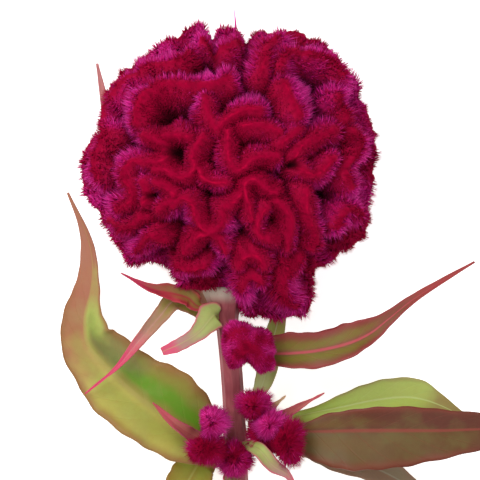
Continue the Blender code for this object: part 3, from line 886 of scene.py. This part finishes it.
@dataclass
class FloretField:
    """Florets scattered over a core's faces, in pieces that stand for one node."""

    name: str
    node: str
    material: bpy.types.Material
    count: int
    pieces: int
    seed: int
    half_width: float = FLORET_HALF_WIDTH

    def grow(self, coat: Coat) -> None:
        """Grows the florets.

        Args:
            coat: The core's arrays.
        """
        rng = np.random.default_rng(self.seed)
        corners = coat.place[coat.triangles]
        sides = np.cross(corners[:, 1] - corners[:, 0], corners[:, 2] - corners[:, 0])
        weight = np.linalg.norm(sides, axis=1) * coat.grown[coat.triangles].min(1)
        picked = rng.choice(len(weight), self.count, p=weight / weight.sum())
        share = rng.dirichlet((1, 1, 1), self.count)

        def at(values: np.ndarray) -> np.ndarray:
            """Blends the core's values at the roots.

            Args:
                values: One for each of the core's vertices.

            Returns:
                One for each floret.
            """
            return np.einsum("nk,nk...->n...", share, values[coat.triangles[picked]])

        root = at(coat.place)
        aim = unit(unit(at(coat.normal)) + at(coat.lean) + rng.normal(0, 0.13, root.shape))
        length = at(coat.length) * rng.uniform(0.55, 1.35, self.count)
        tone = at(coat.tone)
        tone = np.clip(tone + rng.normal(0, 1, self.count) * (0.03 + 0.16 * tone), 0.01, 0.99)
        # Painted light, varied at random from floret to floret.
        light = np.clip(at(coat.light) * rng.uniform(0.6, 1.2, self.count), 0.05, 1)
        look = np.column_stack([tone, light])
        for k, part in enumerate(np.array_split(np.arange(self.count), self.pieces)):
            name = f"{self.name}_{k + 1}"
            self.piece(name, root[part], aim[part], length[part], look[part], rng)

    def piece(self, name: str, root: np.ndarray, aim: np.ndarray, length: np.ndarray,
              look: np.ndarray, rng: np.random.Generator) -> None:  # fmt: skip
        """Makes one object of many three-sided cones, each sunk a little at its root.

        Args:
            name: The object's name.
            root: Where each floret stands.
            aim: The way it points.
            length: Its length in metres.
            look: Its place across the colour map, and its painted light, the tip's height on the map.
            rng: The source of chance.
        """
        bm = bmesh.new()
        bmesh.ops.create_cone(bm, cap_ends=True, segments=3, radius1=1.0, radius2=0.0, depth=1.0)
        bm.verts.ensure_lookup_table()
        cone = np.array([v.co for v in bm.verts])
        faces = np.array([[v.index for v in f.verts] for f in bm.faces])
        bm.free()
        cone[:, 2] += 0.5
        n, m = len(root), len(cone)
        side = unit(np.cross(aim, rng.normal(0, 1, root.shape)))
        other = np.cross(aim, side)
        width = (self.half_width * rng.uniform(0.7, 1.2, n))[:, None, None]
        rise = cone[None, :, 2:] * length[:, None, None] - FLORET_ROOT
        places = (
            root[:, None]
            + side[:, None] * (cone[None, :, :1] * width)
            + other[:, None] * (cone[None, :, 1:2] * width * FLORET_FLATNESS)
            + aim[:, None] * rise
        )
        loops = (faces[None] + (np.arange(n) * m)[:, None, None]).reshape(-1)
        mesh = bpy.data.meshes.new(name)
        mesh.vertices.add(n * m)
        mesh.vertices.foreach_set("co", places.reshape(-1).astype(np.float32))
        mesh.loops.add(len(loops))
        mesh.loops.foreach_set("vertex_index", loops.astype(np.int32))
        mesh.polygons.add(n * len(faces))
        mesh.polygons.foreach_set("loop_start", np.arange(0, len(loops), 3, dtype=np.int32))
        mesh.update(calc_edges=True)
        up = look[:, 1:] * (0.35 + 0.65 * cone[None, :, 2])
        uv = np.column_stack([np.repeat(look[:, 0], m), up.reshape(-1)])[loops]
        mesh.uv_layers.new(name="OFBake").data.foreach_set("uv", uv.reshape(-1).astype(np.float32))
        mesh.materials.append(self.material)
        made = bpy.data.objects.new(name, mesh)
        bpy.context.scene.collection.objects.link(made)
        publish(made, self.node)


class CombSurvey:
    """What the folds do at places on the smooth head. The core and its coat follow from it."""

    def __init__(self, folds: Folds, points: np.ndarray) -> None:
        """Measures each place against the growing edges, the rim, the gaps and the notches.

        Args:
            folds: The comb's folds.
            points: Points about the head's middle.
        """
        near, first, second = folds.nearest(points)
        middle = np.hypot(points[:, 0], points[:, 1])
        self.points = points
        self.away = points - near
        self.far = np.linalg.norm(self.away, axis=1)
        self.radial = unit(points * (1, 1, 0.25))
        self.outer = step((unit(self.away) * self.radial).sum(1), -0.25, 0.45)
        self.height = folds.height(first, second, self.outer)
        self.height[(middle < REST_SPOT_RADIUS) & (points[:, 2] < 0)] = 1
        self.pits = folds.pit_depth(points)
        self.notch, self.depth = self.notches(points)
        self.rim = step(middle, *RIM_ZONE)
        self.region = 0.14 + 0.86 * np.maximum(folds.magenta(points), 0.4 * step(middle, *OUTER_ZONE))

    @staticmethod
    def notches(points: np.ndarray) -> tuple[np.ndarray, np.ndarray]:
        """Finds the notches between the lobes of the rim.

        Args:
            points: Points about the head's middle.

        Returns:
            How much a place lies in a notch, from 0 to 1, and how far it sinks, in metres.
        """
        angle = np.degrees(np.arctan2(points[:, 1], points[:, 0]))
        outside = step(np.hypot(points[:, 0], points[:, 1]), 0.034, 0.052)
        notch, depth = np.zeros(len(points)), np.zeros(len(points))
        for at, sunk, wide in NOTCHES:
            near = np.exp(-((((angle - at + 180) % 360 - 180) / wide) ** 2)) * outside
            notch = np.maximum(notch, near * min(sunk / FULL_NOTCH, 1))
            depth += near * sunk
        return notch, depth

    def placed(self) -> np.ndarray:
        """Sinks the grooves, the gaps and the notches into the head, and adds a fine relief.

        Returns:
            Points over the floor.
        """
        points = self.points
        sunk = FOLD_DEPTH * (1 - self.height) + self.pits
        size = np.linalg.norm(points, axis=1)
        placed = points * (1 - sunk / size)[:, None] + (0, 0, HEAD_HEIGHT)
        placed[:, 2] = np.maximum(placed[:, 2], FLOOR_GAP)
        placed[:, :2] -= unit(points * (1, 1, 0))[:, :2] * self.depth[:, None]
        fine = (ripple(points, 2600.0, 9) + ripple(points, 4600.0, 10) - 1) * FINE_RELIEF
        return placed + unit(points) * (fine * (placed[:, 2] > SMOOTH_BELOW))[:, None]

    def coat(self, triangles: np.ndarray, placed: np.ndarray, normal: np.ndarray) -> Coat:
        """Lays out the florets: longer, more magenta and combed outwards on the outer flanks. Their painted
        light is high on the folds' tops and low, as painted shade, in the grooves, gaps and notches.

        Args:
            triangles: The core's triangles.
            placed: Its points over the floor.
            normal: Its normals there.

        Returns:
            The core's arrays.
        """
        points, far = self.points, self.far
        patch = ripple(points, 260.0, 3)
        flank = self.outer * step(far, *FLANK_ZONE) * self.region
        inner = (1 - self.outer) * step(far, *INNER_ZONE) * (0.4 + 0.6 * self.region)
        hidden = 0.10 * step(ripple(points, 420.0, 5), 0.35, 0.75)
        tone = 0.03 + hidden + (0.19 - hidden) * step(far, 0.0001, 0.0010)
        tone += 0.30 * patch * step(far, 0.0004, 0.002) + 0.60 * flank + 0.10 * self.rim
        tone += 0.34 * inner * ripple(points, 900.0, 14)
        length = 0.0006 + 0.0012 * step(far, 0.0003, 0.0020) + 0.0027 * flank * (0.6 + 0.6 * patch)
        length += 0.0010 * inner + 0.0022 * self.rim * step(ripple(points, 900.0, 8), 0.2, 0.8)
        # Painted light: high on the folds' tops and outer flanks, painted shade in the grooves and the deep
        # gaps, varied in patches.
        light = 0.12 + 0.88 * step(self.height + 0.25 * self.outer, 0.15, 0.85)
        light = (light - 1.15 * self.pits / PIT_DEPTH) * (0.72 + 0.56 * ripple(points, 3600.0, 12))
        clump = np.column_stack([ripple(points, 1500.0, k) for k in (20, 31, 42)]) - 0.5
        combed = unit(self.away - normal * (self.away * normal).sum(1)[:, None])
        lean = combed * ((0.3 + 1.5 * flank) * step(far, 0.0005, 0.0045))[:, None]
        lean += self.radial * (0.2 + 0.5 * flank * self.rim)[:, None] + 0.45 * clump
        neck = np.linalg.norm(placed - on_floor(*NECK), axis=1)
        height = placed[:, 2]
        grown = (height > BARE_BELOW) & ((neck > BARE_NECK) | (height > NECK_TOP))
        return Coat(
            triangles=triangles,
            place=placed,
            normal=normal,
            lean=lean,
            length=length * (1 - 0.6 * self.notch),
            tone=np.clip(tone, 0.02, 0.98),
            # Painted shade in the rim's notches.
            light=np.clip(light - 0.5 * self.notch, 0.08, 1),
            grown=grown * (BACK_SHARE + (1 - BACK_SHARE) * step(height, *BACK_HEIGHTS)),
        )


@dataclass
class Comb:
    """The folded head: a core, its florets and one awn."""

    folds: Folds
    material: bpy.types.Material

    def build(self) -> None:
        """Builds the core and grows its florets."""
        bm, u = ball(COMB_SUBDIVISIONS)
        survey = CombSurvey(self.folds, self.folds.surface(u))
        placed = survey.placed()
        triangles, normal = move(bm, placed)
        coat = survey.coat(triangles, placed, normal)
        publish(core_object("comb_core", bm, coat, self.material), "crest_head")
        FloretField("comb_florets", "crest_head", self.material, FLORETS, FLORET_PIECES, 11).grow(coat)
        self.awn()

    def awn(self) -> None:
        """Bends a thin cone into the pale awn at the top."""
        bm = bmesh.new()
        bmesh.ops.create_cone(bm, cap_ends=True, segments=12, radius1=1.0, radius2=0.05, depth=1.0)
        root, tip = on_floor(*AWN_ROOT), on_floor(*AWN_TIP)
        for vert in bm.verts:
            x, y, z = vert.co
            across = np.array([x * AWN_HALF_WIDTH, 0, y * AWN_HALF_WIDTH])
            vert.co = root + (tip - root) * (z + 0.5) + across
        layer = bm.loops.layers.uv.new("OFBake")
        for face in bm.faces:
            for loop in face.loops:
                loop[layer].uv = AWN_LOOK
        publish(make_object("comb_awn", bm, self.material), "crest_head")


def core_object(name: str, bm: bmesh.types.BMesh, coat: Coat,
                material: bpy.types.Material) -> bpy.types.Object:  # fmt: skip
    """Makes the core under florets, darkened with painted shade as their roots are.

    Args:
        name: The object's name.
        bm: The core's mesh.
        coat: Its arrays.
        material: Its material.

    Returns:
        The object.
    """
    layer = bm.loops.layers.uv.new("OFBake")
    for face in bm.faces:
        for loop in face.loops:
            k = loop.vert.index
            # Painted shade: the core takes a fraction of the florets' painted light.
            loop[layer].uv = (coat.tone[k], CORE_LIGHT * coat.light[k])
    return make_object(name, bm, material)


@dataclass
class Tuft:
    """A small velvet tuft."""

    node: str
    middle: tuple[float, float, float]
    size: tuple[float, float, float]
    lobes: int
    turn: float
    tone: float
    outline: tuple | None = None
    florets: int = TUFT_FLORETS
    reach: float = 0.0034

    def build(self, material: bpy.types.Material, seed: int) -> None:
        """Builds the ball and grows its florets.

        Args:
            material: The velvet.
            seed: The source of chance.
        """
        bm, u = ball(TUFT_SUBDIVISIONS)
        angle = np.arctan2(u[:, 1], u[:, 0])
        flat = np.hypot(u[:, 0], u[:, 1])
        ruffle = 1 + 0.13 * np.sin(self.lobes * (angle + self.turn)) * flat
        ruffle += 0.07 * np.sin(4 * u[:, 2] + 3 * u[:, 0])
        size = np.array(self.size)[None] * ruffle[:, None]
        if self.outline:
            spread = (outline_at(self.outline, angle) - TUFT_MARGIN / GRID) * GRID
            size = np.column_stack([spread, spread, np.full(len(u), self.size[2])])
        folds = np.sin(4.5 * u[:, 0] + 1.9 * np.sin(3.1 * u[:, 1] + self.turn) + self.turn)
        folds = 1 - np.abs(folds)
        placed = on_floor(*self.middle) + u * size * (0.93 + 0.09 * folds)[:, None]
        triangles, normal = move(bm, placed)
        patch = ripple(placed, 900.0, seed)
        clump = np.column_stack([ripple(placed, 2200.0, seed + k) for k in (1, 2, 3)]) - 0.5
        coat = Coat(
            triangles=triangles,
            place=placed,
            normal=normal,
            lean=u * (1, 1, 0.3) * 1.3 + 1.4 * clump,
            length=self.reach * (0.45 + 0.7 * patch + 0.4 * flat**2),
            tone=np.clip(self.tone + 0.35 * (flat - 0.6) + 0.3 * (patch - 0.5), 0.02, 0.95),
            # Painted light: lighter on the ruffle's fold tops and painted shade between them, varied in
            # patches.
            light=np.clip(0.55 + 0.4 * folds + 0.4 * patch, 0, 1.15),
            grown=np.ones(len(u)),
        )
        publish(core_object(f"{self.node}_core", bm, coat, material), self.node)
        name = f"{self.node}_florets"
        FloretField(name, self.node, material, self.florets, 1, seed, TUFT_HALF_WIDTH).grow(coat)


def stem_axis(y: float) -> np.ndarray:
    """Middle of the stem.

    Args:
        y: Height on the grid.

    Returns:
        The point.
    """
    share = (y - NECK[1]) / (CUT_END[1] - NECK[1])
    x = NECK[0] + share * (CUT_END[0] - NECK[0]) + 2.0 * math.sin(2.2 * math.pi * share)
    return on_floor(x, y, NECK[2] + share * (CUT_END[2] - NECK[2]))


def stem_half_widths(y: float) -> tuple[float, float]:
    """Half width and half depth of the stem.

    Args:
        y: Height on the grid.

    Returns:
        Both, in metres.
    """
    flare = max(0.0, 1 - (y - NECK[1]) * GRID / FLARE_LENGTH) ** FLARE_POWER
    radius = STEM_RADIUS + NODE_BULGE * math.exp(-(((y - NODE_AT) / NODE_HALF_LENGTH) ** 2))
    return radius + flare * (NECK_HALF_WIDTH - STEM_RADIUS), radius + flare * FLARE_DEPTH


@dataclass
class Stem:
    """The ribbed stem."""

    material: bpy.types.Material
    sides: int = 64
    rows: int = 110

    def build(self) -> None:
        """Bends a capped cylinder along the stem's axis."""
        bm = bmesh.new()
        bmesh.ops.create_grid(bm, x_segments=self.sides, y_segments=self.rows - 1, size=1.0)
        top = NECK[1] + GAP / GRID
        for vert in bm.verts:
            angle = math.pi * (vert.co.x + 1)
            share = (1 - vert.co.y) / 2
            y = top + (CUT_END[1] - top) * share
            wide, deep = stem_half_widths(y)
            rib = 1 + STEM_RIDGE * (1 - 2 * abs(math.sin(4 * angle))) * 0.8
            rib += 0.012 * math.sin(19 * angle + 9 * share)
            offset = np.array([wide * math.cos(angle), 0, deep * math.sin(angle)]) * rib
            vert.co = stem_axis(y) + offset
        bmesh.ops.remove_doubles(bm, verts=bm.verts[:], dist=1e-6)
        ends = [e for e in bm.edges if e.is_boundary]
        bmesh.ops.holes_fill(bm, edges=ends, sides=0)
        bmesh.ops.triangulate(bm, faces=[f for f in bm.faces if len(f.verts) > 4])
        bmesh.ops.recalc_face_normals(bm, faces=bm.faces[:])
        publish(make_object("stem_skin", bm, self.material), "main_stem")


@dataclass
class Leaf:
    """A lance-shaped leaf, laid out as the frame's node is."""

    node: str
    joint: tuple[float, float]
    route: tuple
    facing: tuple
    finish: LeafFinish
    slot: Slot
    half_width: float = 0.0
    margins: tuple = ()
    fold: float = 0.35
    ripple: float = 0.25
    waves: float = 3.0
    phase: float = 0.0
    widest: float = 0.4
    rows: int = 84
    columns: int = 16

    def spine(self) -> np.ndarray:
        """The midrib's points, from the stem to the tip.

        Returns:
            Points, one a row.
        """
        y, around = self.joint
        wide, deep = stem_half_widths(y)
        out = np.array([math.cos(math.radians(around)), 0, math.sin(math.radians(around))])
        reach = math.hypot(out[0] * wide, out[2] * deep) * (1 + STEM_RIDGE) + 2 * GAP
        base = stem_axis(y)
        points = [base + out * reach, base + out * (reach + STALK_STRAIGHT)]
        points += [on_floor(*place) for place in self.route]
        return smooth_run(points, self.rows)

    def widths(self) -> np.ndarray:
        """The blade's left and right half widths along the leaf.

        Returns:
            Two columns, in metres.
        """
        t = np.linspace(0, 1, self.rows)
        s = np.clip((t - STALK_SHARE) / (1 - STALK_SHARE), 0, 1)
        tail = BLADE_POWER * (1 - self.widest) / self.widest
        blade = (s / self.widest) ** BLADE_POWER * ((1 - s) / (1 - self.widest)) ** tail
        sides = np.column_stack([self.half_width * blade] * 2)
        if self.margins:
            share, left, right = np.array(self.margins).T
            sides = np.column_stack([np.interp(t, share, left), np.interp(t, share, right)]) * GRID
            reach = max(2, self.rows // 24)
            kernel = np.hanning(2 * reach + 1)
            kernel /= kernel.sum()
            padded = np.pad(sides, ((reach, reach), (0, 0)), mode="edge")
            sides = np.column_stack([np.convolve(padded[:, k], kernel, "valid") for k in (0, 1)])
        least = np.where(t < 0.5, STALK_HALF_WIDTH, TIP_HALF_WIDTH)
        least = least * np.minimum(1, 0.35 + (1 - t) * 12)
        return np.maximum(sides, least[:, None])

    def build(self) -> None:
        """Bends a grid along the midrib and gives it thickness."""
        spine = self.spine()
        looks = smooth_run(self.facing, self.rows) if len(self.facing) > 1 else np.array(self.facing)
        tangent = unit(np.gradient(spine, axis=0))
        up = unit(looks - tangent * (looks * tangent).sum(1)[:, None])
        across = np.cross(tangent, up)
        widths = self.widths()
        bm = bmesh.new()
        bmesh.ops.create_grid(bm, x_segments=self.columns, y_segments=self.rows - 1, size=1.0)
        layer = bm.loops.layers.uv.new("blade")
        for face in bm.faces:
            for loop in face.loops:
                x, y, _ = loop.vert.co
                loop[layer].uv = ((x + 1) / 2, (y + 1) / 2)
        for vert in bm.verts:
            side = vert.co.x
            k = int(round((vert.co.y + 1) / 2 * (self.rows - 1)))
            width = widths[k, int(side > 0)]
            turn = 2 * math.pi * self.waves * k / (self.rows - 1) + self.phase + 1.3 * (side > 0)
            wave = math.sin(turn) + 0.25 * math.sin(2.7 * turn + 1)
            rise = self.fold * abs(side) ** 1.25 + self.ripple * side * side * wave
            edge = 1 + 0.02 * abs(side) * math.sin(4.3 * turn + self.phase)
            vert.co = spine[k] + across[k] * (side * width * edge) + up[k] * (rise * width)
        made = make_object(f"{self.node}_blade", bm, self.finish.material())
        wall = made.modifiers.new("blade", "SOLIDIFY")
        wall.thickness = BLADE_THICKNESS
        wall.offset = 0
        publish(made, self.node)


# The broad leaf's painted brown shadow crosses its right half about halfway along.
BROAD = LeafFinish("celosia_leaf_broad", ("#A69E4A", "#985A3E"), ("#807C30", "#9EA850"), "#4C8804",
    "#9C644C", "#8A5C34", "#A0904E", rim_width=0.22, heart_share=0.82, vein_share=0.05,
    rib_share=0.4, turn=(0.40, 0.64), left_heart=0.25, tip_from=0.60, blotch="#98A05C",
    blotch_share=0.2, shadow_band=(0.50, 0.13, 0.6, "#6C5040"))  # fmt: skip
STRAP = LeafFinish("celosia_leaf_strap", ("#A8AE74", "#8A9040"), ("#A4AC6C", "#969A4C"), "#A8B078",
    "#8C9048", "#9A9860", "#AEB488", rim_width=0.15)  # fmt: skip
CURLED = LeafFinish("celosia_leaf_red_rimmed", ("#A03038", "#A63040"), ("#7E6A30", "#8A4A34"),
    "#8A7A34", "#B03050", "#A8303C", "#9A4038", rim_width=0.3)  # fmt: skip
HANGING = LeafFinish("celosia_leaf_olive_pink", ("#8A8438", "#B88478"), ("#8E8A3C", "#BC8A80"),
    "#8E8C3E", "#C83E62", "#9E6C58", "#B49080", rim_width=0.2, tip_from=0.62)  # fmt: skip
PALE = LeafFinish("celosia_leaf_pale_rimmed", ("#8E9C50", "#A07C70"), ("#98A45C", "#A88078"),
    "#A0B060", "#C8506C", "#BC4C68", "#A8A468", rim_width=0.2)  # fmt: skip
OLIVE = LeafFinish("celosia_leaf_olive_red", ("#774A2C", "#783F30"), ("#6C5A2C", "#7A4632"),
    "#706A20", "#963C3A", "#8C3036", "#B84050", rim_width=0.35, heart_share=0.8, rib_width=0.07)  # fmt: skip
BRIGHT = LeafFinish("celosia_leaf_bright", ("#9CB24C", "#A8B65E"), ("#9CB04A", "#A2B452"),
    "#ACC862", "#94824C", "#928A52", "#B4C278", rim_width=0.2)  # fmt: skip
RUSSET = LeafFinish("celosia_leaf_russet", ("#623E28", "#562A1C"), ("#645634", "#5A3C1A"),
    "#664C1E", "#5C2C1E", "#723426", "#86382E", rim_width=0.25, blotch="#645F2E",
    blotch_share=0.45)  # fmt: skip
GREY = LeafFinish("celosia_leaf_grey_green", ("#868A68", "#84745A"), ("#80866A", "#8A6E58"),
    "#8A9072", "#8E6A58", "#8E6E58", "#94907A")  # fmt: skip
FRESH = LeafFinish("celosia_leaf_fresh", ("#8A8A2C", "#947428"), ("#86882C", "#8E7C2C"), "#8E9632",
    "#946A30", "#8E6A2C", "#9A9A48", rim_width=0.2)  # fmt: skip
OCHRE = LeafFinish("celosia_bract_ochre", ("#C09060", "#C8A478"), ("#B88C5C", "#C8A478"),
    "#C0985E", "#C8A880", "#B48862", "#BC9868")  # fmt: skip
ROSE = LeafFinish("celosia_bract_rose", ("#9C4448", "#A4504E"), ("#A45250", "#A85C54"), "#A04A4C",
    "#B04A54", "#A84858", "#9A4048")  # fmt: skip
BLUSH = LeafFinish("celosia_leaf_blush", ("#A87864", "#A87466"), ("#A07458", "#A87466"), "#A0805C",
    "#B87474", "#A86C60", "#A87C68")  # fmt: skip

LEAVES = (
    Leaf("leaf_left_large", (447, 168), ((192, 436, 0.029), (165, 418, 0.031), (135, 396, 0.032),
         (108, 370, 0.031), (87, 345, 0.029), (84, 318, 0.027), (90, 290, 0.024), (91, 262, 0.021),
         (84, 232, 0.018), (65, 192, 0.014)), ((0.1, 0.3, 1), (0, 0.2, 1), (-0.45, 0, 1),
         (-0.6, 0, 1)), BROAD, Slot.GREEN, margins=((0, 2.5, 2.5), (0.1, 19, 20), (0.195, 35, 40),
         (0.31, 40, 47), (0.42, 39, 37), (0.52, 29, 33), (0.6, 23, 28), (0.69, 20, 13), (0.77, 17, 7),
         (0.87, 10, 5), (0.94, 4, 2), (1, 1, 1)), fold=0.25, ripple=0.1, waves=3.6),
    Leaf("leaf_left_curled", (306, 165), ((188, 298, 0.037), (172, 293, 0.039), (150, 288, 0.04),
         (121, 273, 0.042)), ((0, 0.2, 1), (0, 0.5, 1)), CURLED, Slot.GREEN, half_width=0.0038),
    Leaf("leaf_left_hanging", (316, 205), ((190, 306, 0.03), (173, 302, 0.03), (160, 316, 0.035),
         (138, 342, 0.042), (116, 368, 0.042), (85, 394, 0.039)), ((0, 0.2, 1), (0.3, 0.2, 1)),
         HANGING, Slot.RED_BROWN, half_width=0.0038, fold=0.4, widest=0.35),
    Leaf("leaf_left_bract", (316, 122), ((199, 332, 0.0415), (182, 343, 0.039), (162, 352, 0.036)),
         ((0.1, 0.1, 1),), PALE, Slot.GREEN, margins=((0, 3, 3), (0.15, 11, 12), (0.28, 15, 16),
         (0.42, 10, 11), (0.6, 7, 7), (0.85, 7, 6), (1, 4, 4)), fold=0.15, ripple=0.1, waves=2),
    Leaf("leaf_right", (357, 8), ((268, 355, 0.034), (292, 354, 0.036), (318, 351, 0.038),
         (348, 344, 0.04), (370, 334, 0.04), (388, 320, 0.04), (412, 301, 0.038), (444, 281, 0.035),
         (476, 262, 0.031)), ((0, 0.3, 1), (-0.2, 0.3, 1)), OLIVE, Slot.GREEN, margins=((0, 2.5, 2.5),
         (0.09, 9, 3), (0.18, 17, 9), (0.28, 20, 16), (0.4, 18, 19), (0.5, 21, 16), (0.59, 16, 11),
         (0.71, 8, 6), (0.86, 4, 2.5), (1, 1, 1)), fold=0.3, ripple=0.18, waves=3.4, phase=1.0),
    Leaf("leaf_right_back", (434, 333), ((272, 425, 0.017), (310, 416, 0.017), (345, 409, 0.018),
         (380, 402, 0.018), (415, 400, 0.018), (448, 410, 0.016), (482, 430, 0.012)), ((0, 0.2, 1),
         (0.2, 0.1, 1)), BRIGHT, Slot.GREEN, margins=((0, 2.5, 2.5), (0.15, 3, 4), (0.4, 5, 10),
         (0.49, 12, 14), (0.57, 17, 16), (0.66, 20, 16), (0.77, 19, 14), (0.88, 8, 8), (1, 1, 1)),
         fold=0.25, ripple=0.15),
    Leaf("leaf_right_large", (441, 5), ((268, 438, 0.026), (295, 433, 0.029), (325, 432, 0.032),
         (360, 431, 0.033), (405, 431, 0.034), (455, 431, 0.033), (510, 427, 0.03), (565, 410, 0.024)),
         ((0, -0.1, 1), (0.1, 0.1, 1)), RUSSET, Slot.RED_BROWN, margins=((0, 2.5, 2.5), (0.14, 4, 5),
         (0.25, 6, 11), (0.31, 6, 19), (0.39, 9, 27), (0.44, 17, 34), (0.52, 20, 40), (0.59, 23, 40),
         (0.67, 24, 37), (0.72, 23, 32), (0.84, 16, 20), (0.94, 7, 8), (1, 1, 1)), fold=0.15,
         ripple=0.12, waves=3.3, phase=2.0),
    Leaf("leaf_lower_right", (453, 325), ((275, 450, 0.014), (305, 449, 0.013), (335, 456, 0.012),
         (375, 471, 0.011), (415, 493, 0.009), (458, 528, 0.006)), ((0, 0.2, 1), (0.2, 0.2, 1)), GREY,
         Slot.GREY_GREEN, margins=((0, 2.5, 2.5), (0.15, 4, 4), (0.3, 10, 7), (0.45, 16, 13),
         (0.6, 20, 20), (0.8, 13, 14), (1, 1, 1)), fold=0.25, ripple=0.2),
    Leaf("leaf_bottom_left", (456, 205), ((201, 464, 0.017), (192, 477, 0.017), (182, 495, 0.016),
         (170, 524, 0.013), (158, 562, 0.007)), ((-0.1, 0.2, 1),), FRESH, Slot.GREEN,
         half_width=0.0085, fold=0.25, ripple=0.2, phase=0.5, widest=0.45),
    Leaf("leaf_folded_small", (479, 105), ((232, 490, 0.033), (237, 502, 0.032), (240, 522, 0.028)),
         ((0.3, 0, 1),), PALE, Slot.GREEN, half_width=0.0042, fold=0.5, waves=2.0),
    Leaf("leaf_pink_rimmed", (446, 62), ((260, 451, 0.0392), (273, 466, 0.0395), (288, 476, 0.038),
         (300, 497, 0.032)), ((0, 0.2, 1),), PALE, Slot.GREEN, half_width=0.003, fold=0.4, waves=2.0),
    Leaf("bract_ochre", (417, 352), ((271, 410, 0.0255), (286, 397, 0.027)), ((0, 0.2, 1),), OCHRE,
         Slot.RED_BROWN, half_width=0.0019),
    Leaf("bract_spur", (426, 356), ((278, 419, 0.0258), (291, 413, 0.027), (305, 405, 0.028),
         (325, 394, 0.029)), ((0, 0.2, 1),), ROSE, Slot.RED_BROWN, half_width=0.002),
    Leaf("bract_spear", (441, 138), ((206, 440, 0.0338), (192, 436, 0.036), (174, 423, 0.043),
         (153, 402, 0.047)), ((0.2, 0.2, 1),), ROSE, Slot.RED_BROWN, half_width=0.0027, fold=0.4,
         widest=0.5),
    Leaf("leaf_back_strap", (397, 350), ((264, 382, 0.0235), (270, 352, 0.026), (278, 322, 0.024),
         (279, 304, 0.018)), ((0.2, 0, 1),), STRAP, Slot.GREEN, half_width=0.0042, fold=0.25,
         waves=2.0, widest=0.55),
    Leaf("leaf_behind_head", (312, 232), ((204, 304, 0.018), (192, 276, 0.009), (168, 246, 0.006),
         (142, 214, 0.006), (120, 174, 0.008), (108, 140, 0.011), (102, 104, 0.015), (95, 61, 0.019)),
         ((-0.2, 0.2, 1),), BLUSH, Slot.RED_BROWN, margins=((0, 2.5, 2.5), (0.3, 6, 6), (0.6, 7, 7),
         (0.8, 7, 8), (0.9, 3, 6), (1, 1, 1)), fold=0.3),
)  # fmt: skip

TUFTS = (
    Tuft("side_crest_upper", (248, 346, 0.0470), (GRID, GRID, 0.0056), 3, 0.8, 0.5, TUFT_OUTLINE,
         15000, 0.0016),
    Tuft("whorl_crest_left", (212, 422, 0.0415), (0.0030, 0.0042, 0.0036), 3, 0.3, 0.7),
    Tuft("whorl_crest_low_left", (207, 449, 0.0400), (0.0056, 0.0038, 0.0034), 3, 1.1, 0.35),
    Tuft("whorl_crest_pointed", (254, 406, 0.0380), (0.0036, 0.0040, 0.0034), 3, 2.0, 0.45),
    Tuft("whorl_crest_bright", (270, 425, 0.0400), (0.0032, 0.0028, 0.0028), 3, 0.6, 0.7),
    Tuft("whorl_crest_inner", (264, 437, 0.0312), (0.0042, 0.0052, 0.0028), 3, 2.2, 0.3),
    Tuft("whorl_crest_dark", (287, 442, 0.0405), (0.0042, 0.0064, 0.0036), 3, 1.6, 0.3),
    Tuft("whorl_crest_middle", (235, 459, 0.0330), (0.0044, 0.0048, 0.0034), 3, 2.6, 0.5),
)  # fmt: skip


@dataclass(frozen=True)
class Lamp:
    """A soft square light."""

    name: str
    place: tuple[float, float, float]
    size: float
    power: float

    def hang(self) -> None:
        """Hangs the light and turns it to the flower."""
        data = bpy.data.lights.new(self.name, "AREA")
        data.energy = self.power
        data.size = self.size
        lamp = bpy.data.objects.new(self.name, data)
        lamp.location = self.place
        lamp.rotation_euler = (LIT_PLACE - lamp.location).to_track_quat("-Z", "Y").to_euler()
        bpy.context.scene.collection.objects.link(lamp)
        lamp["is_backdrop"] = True


@dataclass
class Studio:
    """Floor, light and camera."""

    floor: str = "#FFFFFF"
    floor_glow: float = 0.6
    sky: float = 0.52
    lamps: tuple[Lamp, ...] = (
        Lamp("key", (-0.35, 0.30, 0.9), 0.6, 8.2),
        Lamp("fill", (0.5, -0.4, 0.8), 0.8, 2.6),
    )

    def build(self) -> None:
        """Builds the stage."""
        bm = bmesh.new()
        bmesh.ops.create_grid(bm, x_segments=1, y_segments=1, size=3.0)
        paper = Graph("paper_floor").shade(
            Base_Color=self.floor, Roughness=0.9, Emission_Color=self.floor,
            Emission_Strength=self.floor_glow,
        )  # fmt: skip
        floor = make_object("floor", bm, paper)
        floor.location.z = -0.0005
        floor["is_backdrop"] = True
        for lamp in self.lamps:
            lamp.hang()
        world = bpy.data.worlds.new("sky")
        world.use_nodes = True
        background = world.node_tree.nodes["Background"]
        background.inputs[0].default_value = (1, 1, 1, 1)
        background.inputs[1].default_value = self.sky
        bpy.context.scene.world = world
        bpy.context.scene.view_settings.view_transform = "Standard"
        self.camera()

    @staticmethod
    def camera() -> None:
        """Looks straight down on the flower, as the photo looks at its face."""
        data = bpy.data.cameras.new("camera")
        data.sensor_width = SENSOR_MM
        data.lens = LENS_MM
        camera = bpy.data.objects.new("camera", data)
        rise = VIEW_WIDTH * GRID * LENS_MM / SENSOR_MM
        camera.location = on_floor(VIEW_WIDTH / 2, VIEW_WIDTH / 2, HEAD_HEIGHT + rise)
        bpy.context.scene.collection.objects.link(camera)
        bpy.context.scene.camera = camera


def corners() -> list[list[float]]:
    """Reads the bounds of what is shown.

    Returns:
        Lowest and highest corner.
    """
    return [list(corner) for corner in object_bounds()]


def main() -> None:
    """Builds every piece in order."""
    logging.basicConfig(level=logging.INFO, format="%(message)s")
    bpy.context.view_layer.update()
    velvet = VelvetFinish().material()
    Comb(Folds(), velvet).build()
    for seed, tuft in enumerate(TUFTS):
        tuft.build(velvet, 100 + seed)
    Stem(StemFinish().material()).build()
    for leaf in LEAVES:
        leaf.build()
    Studio().build()


if __name__ == "__main__":
    main()
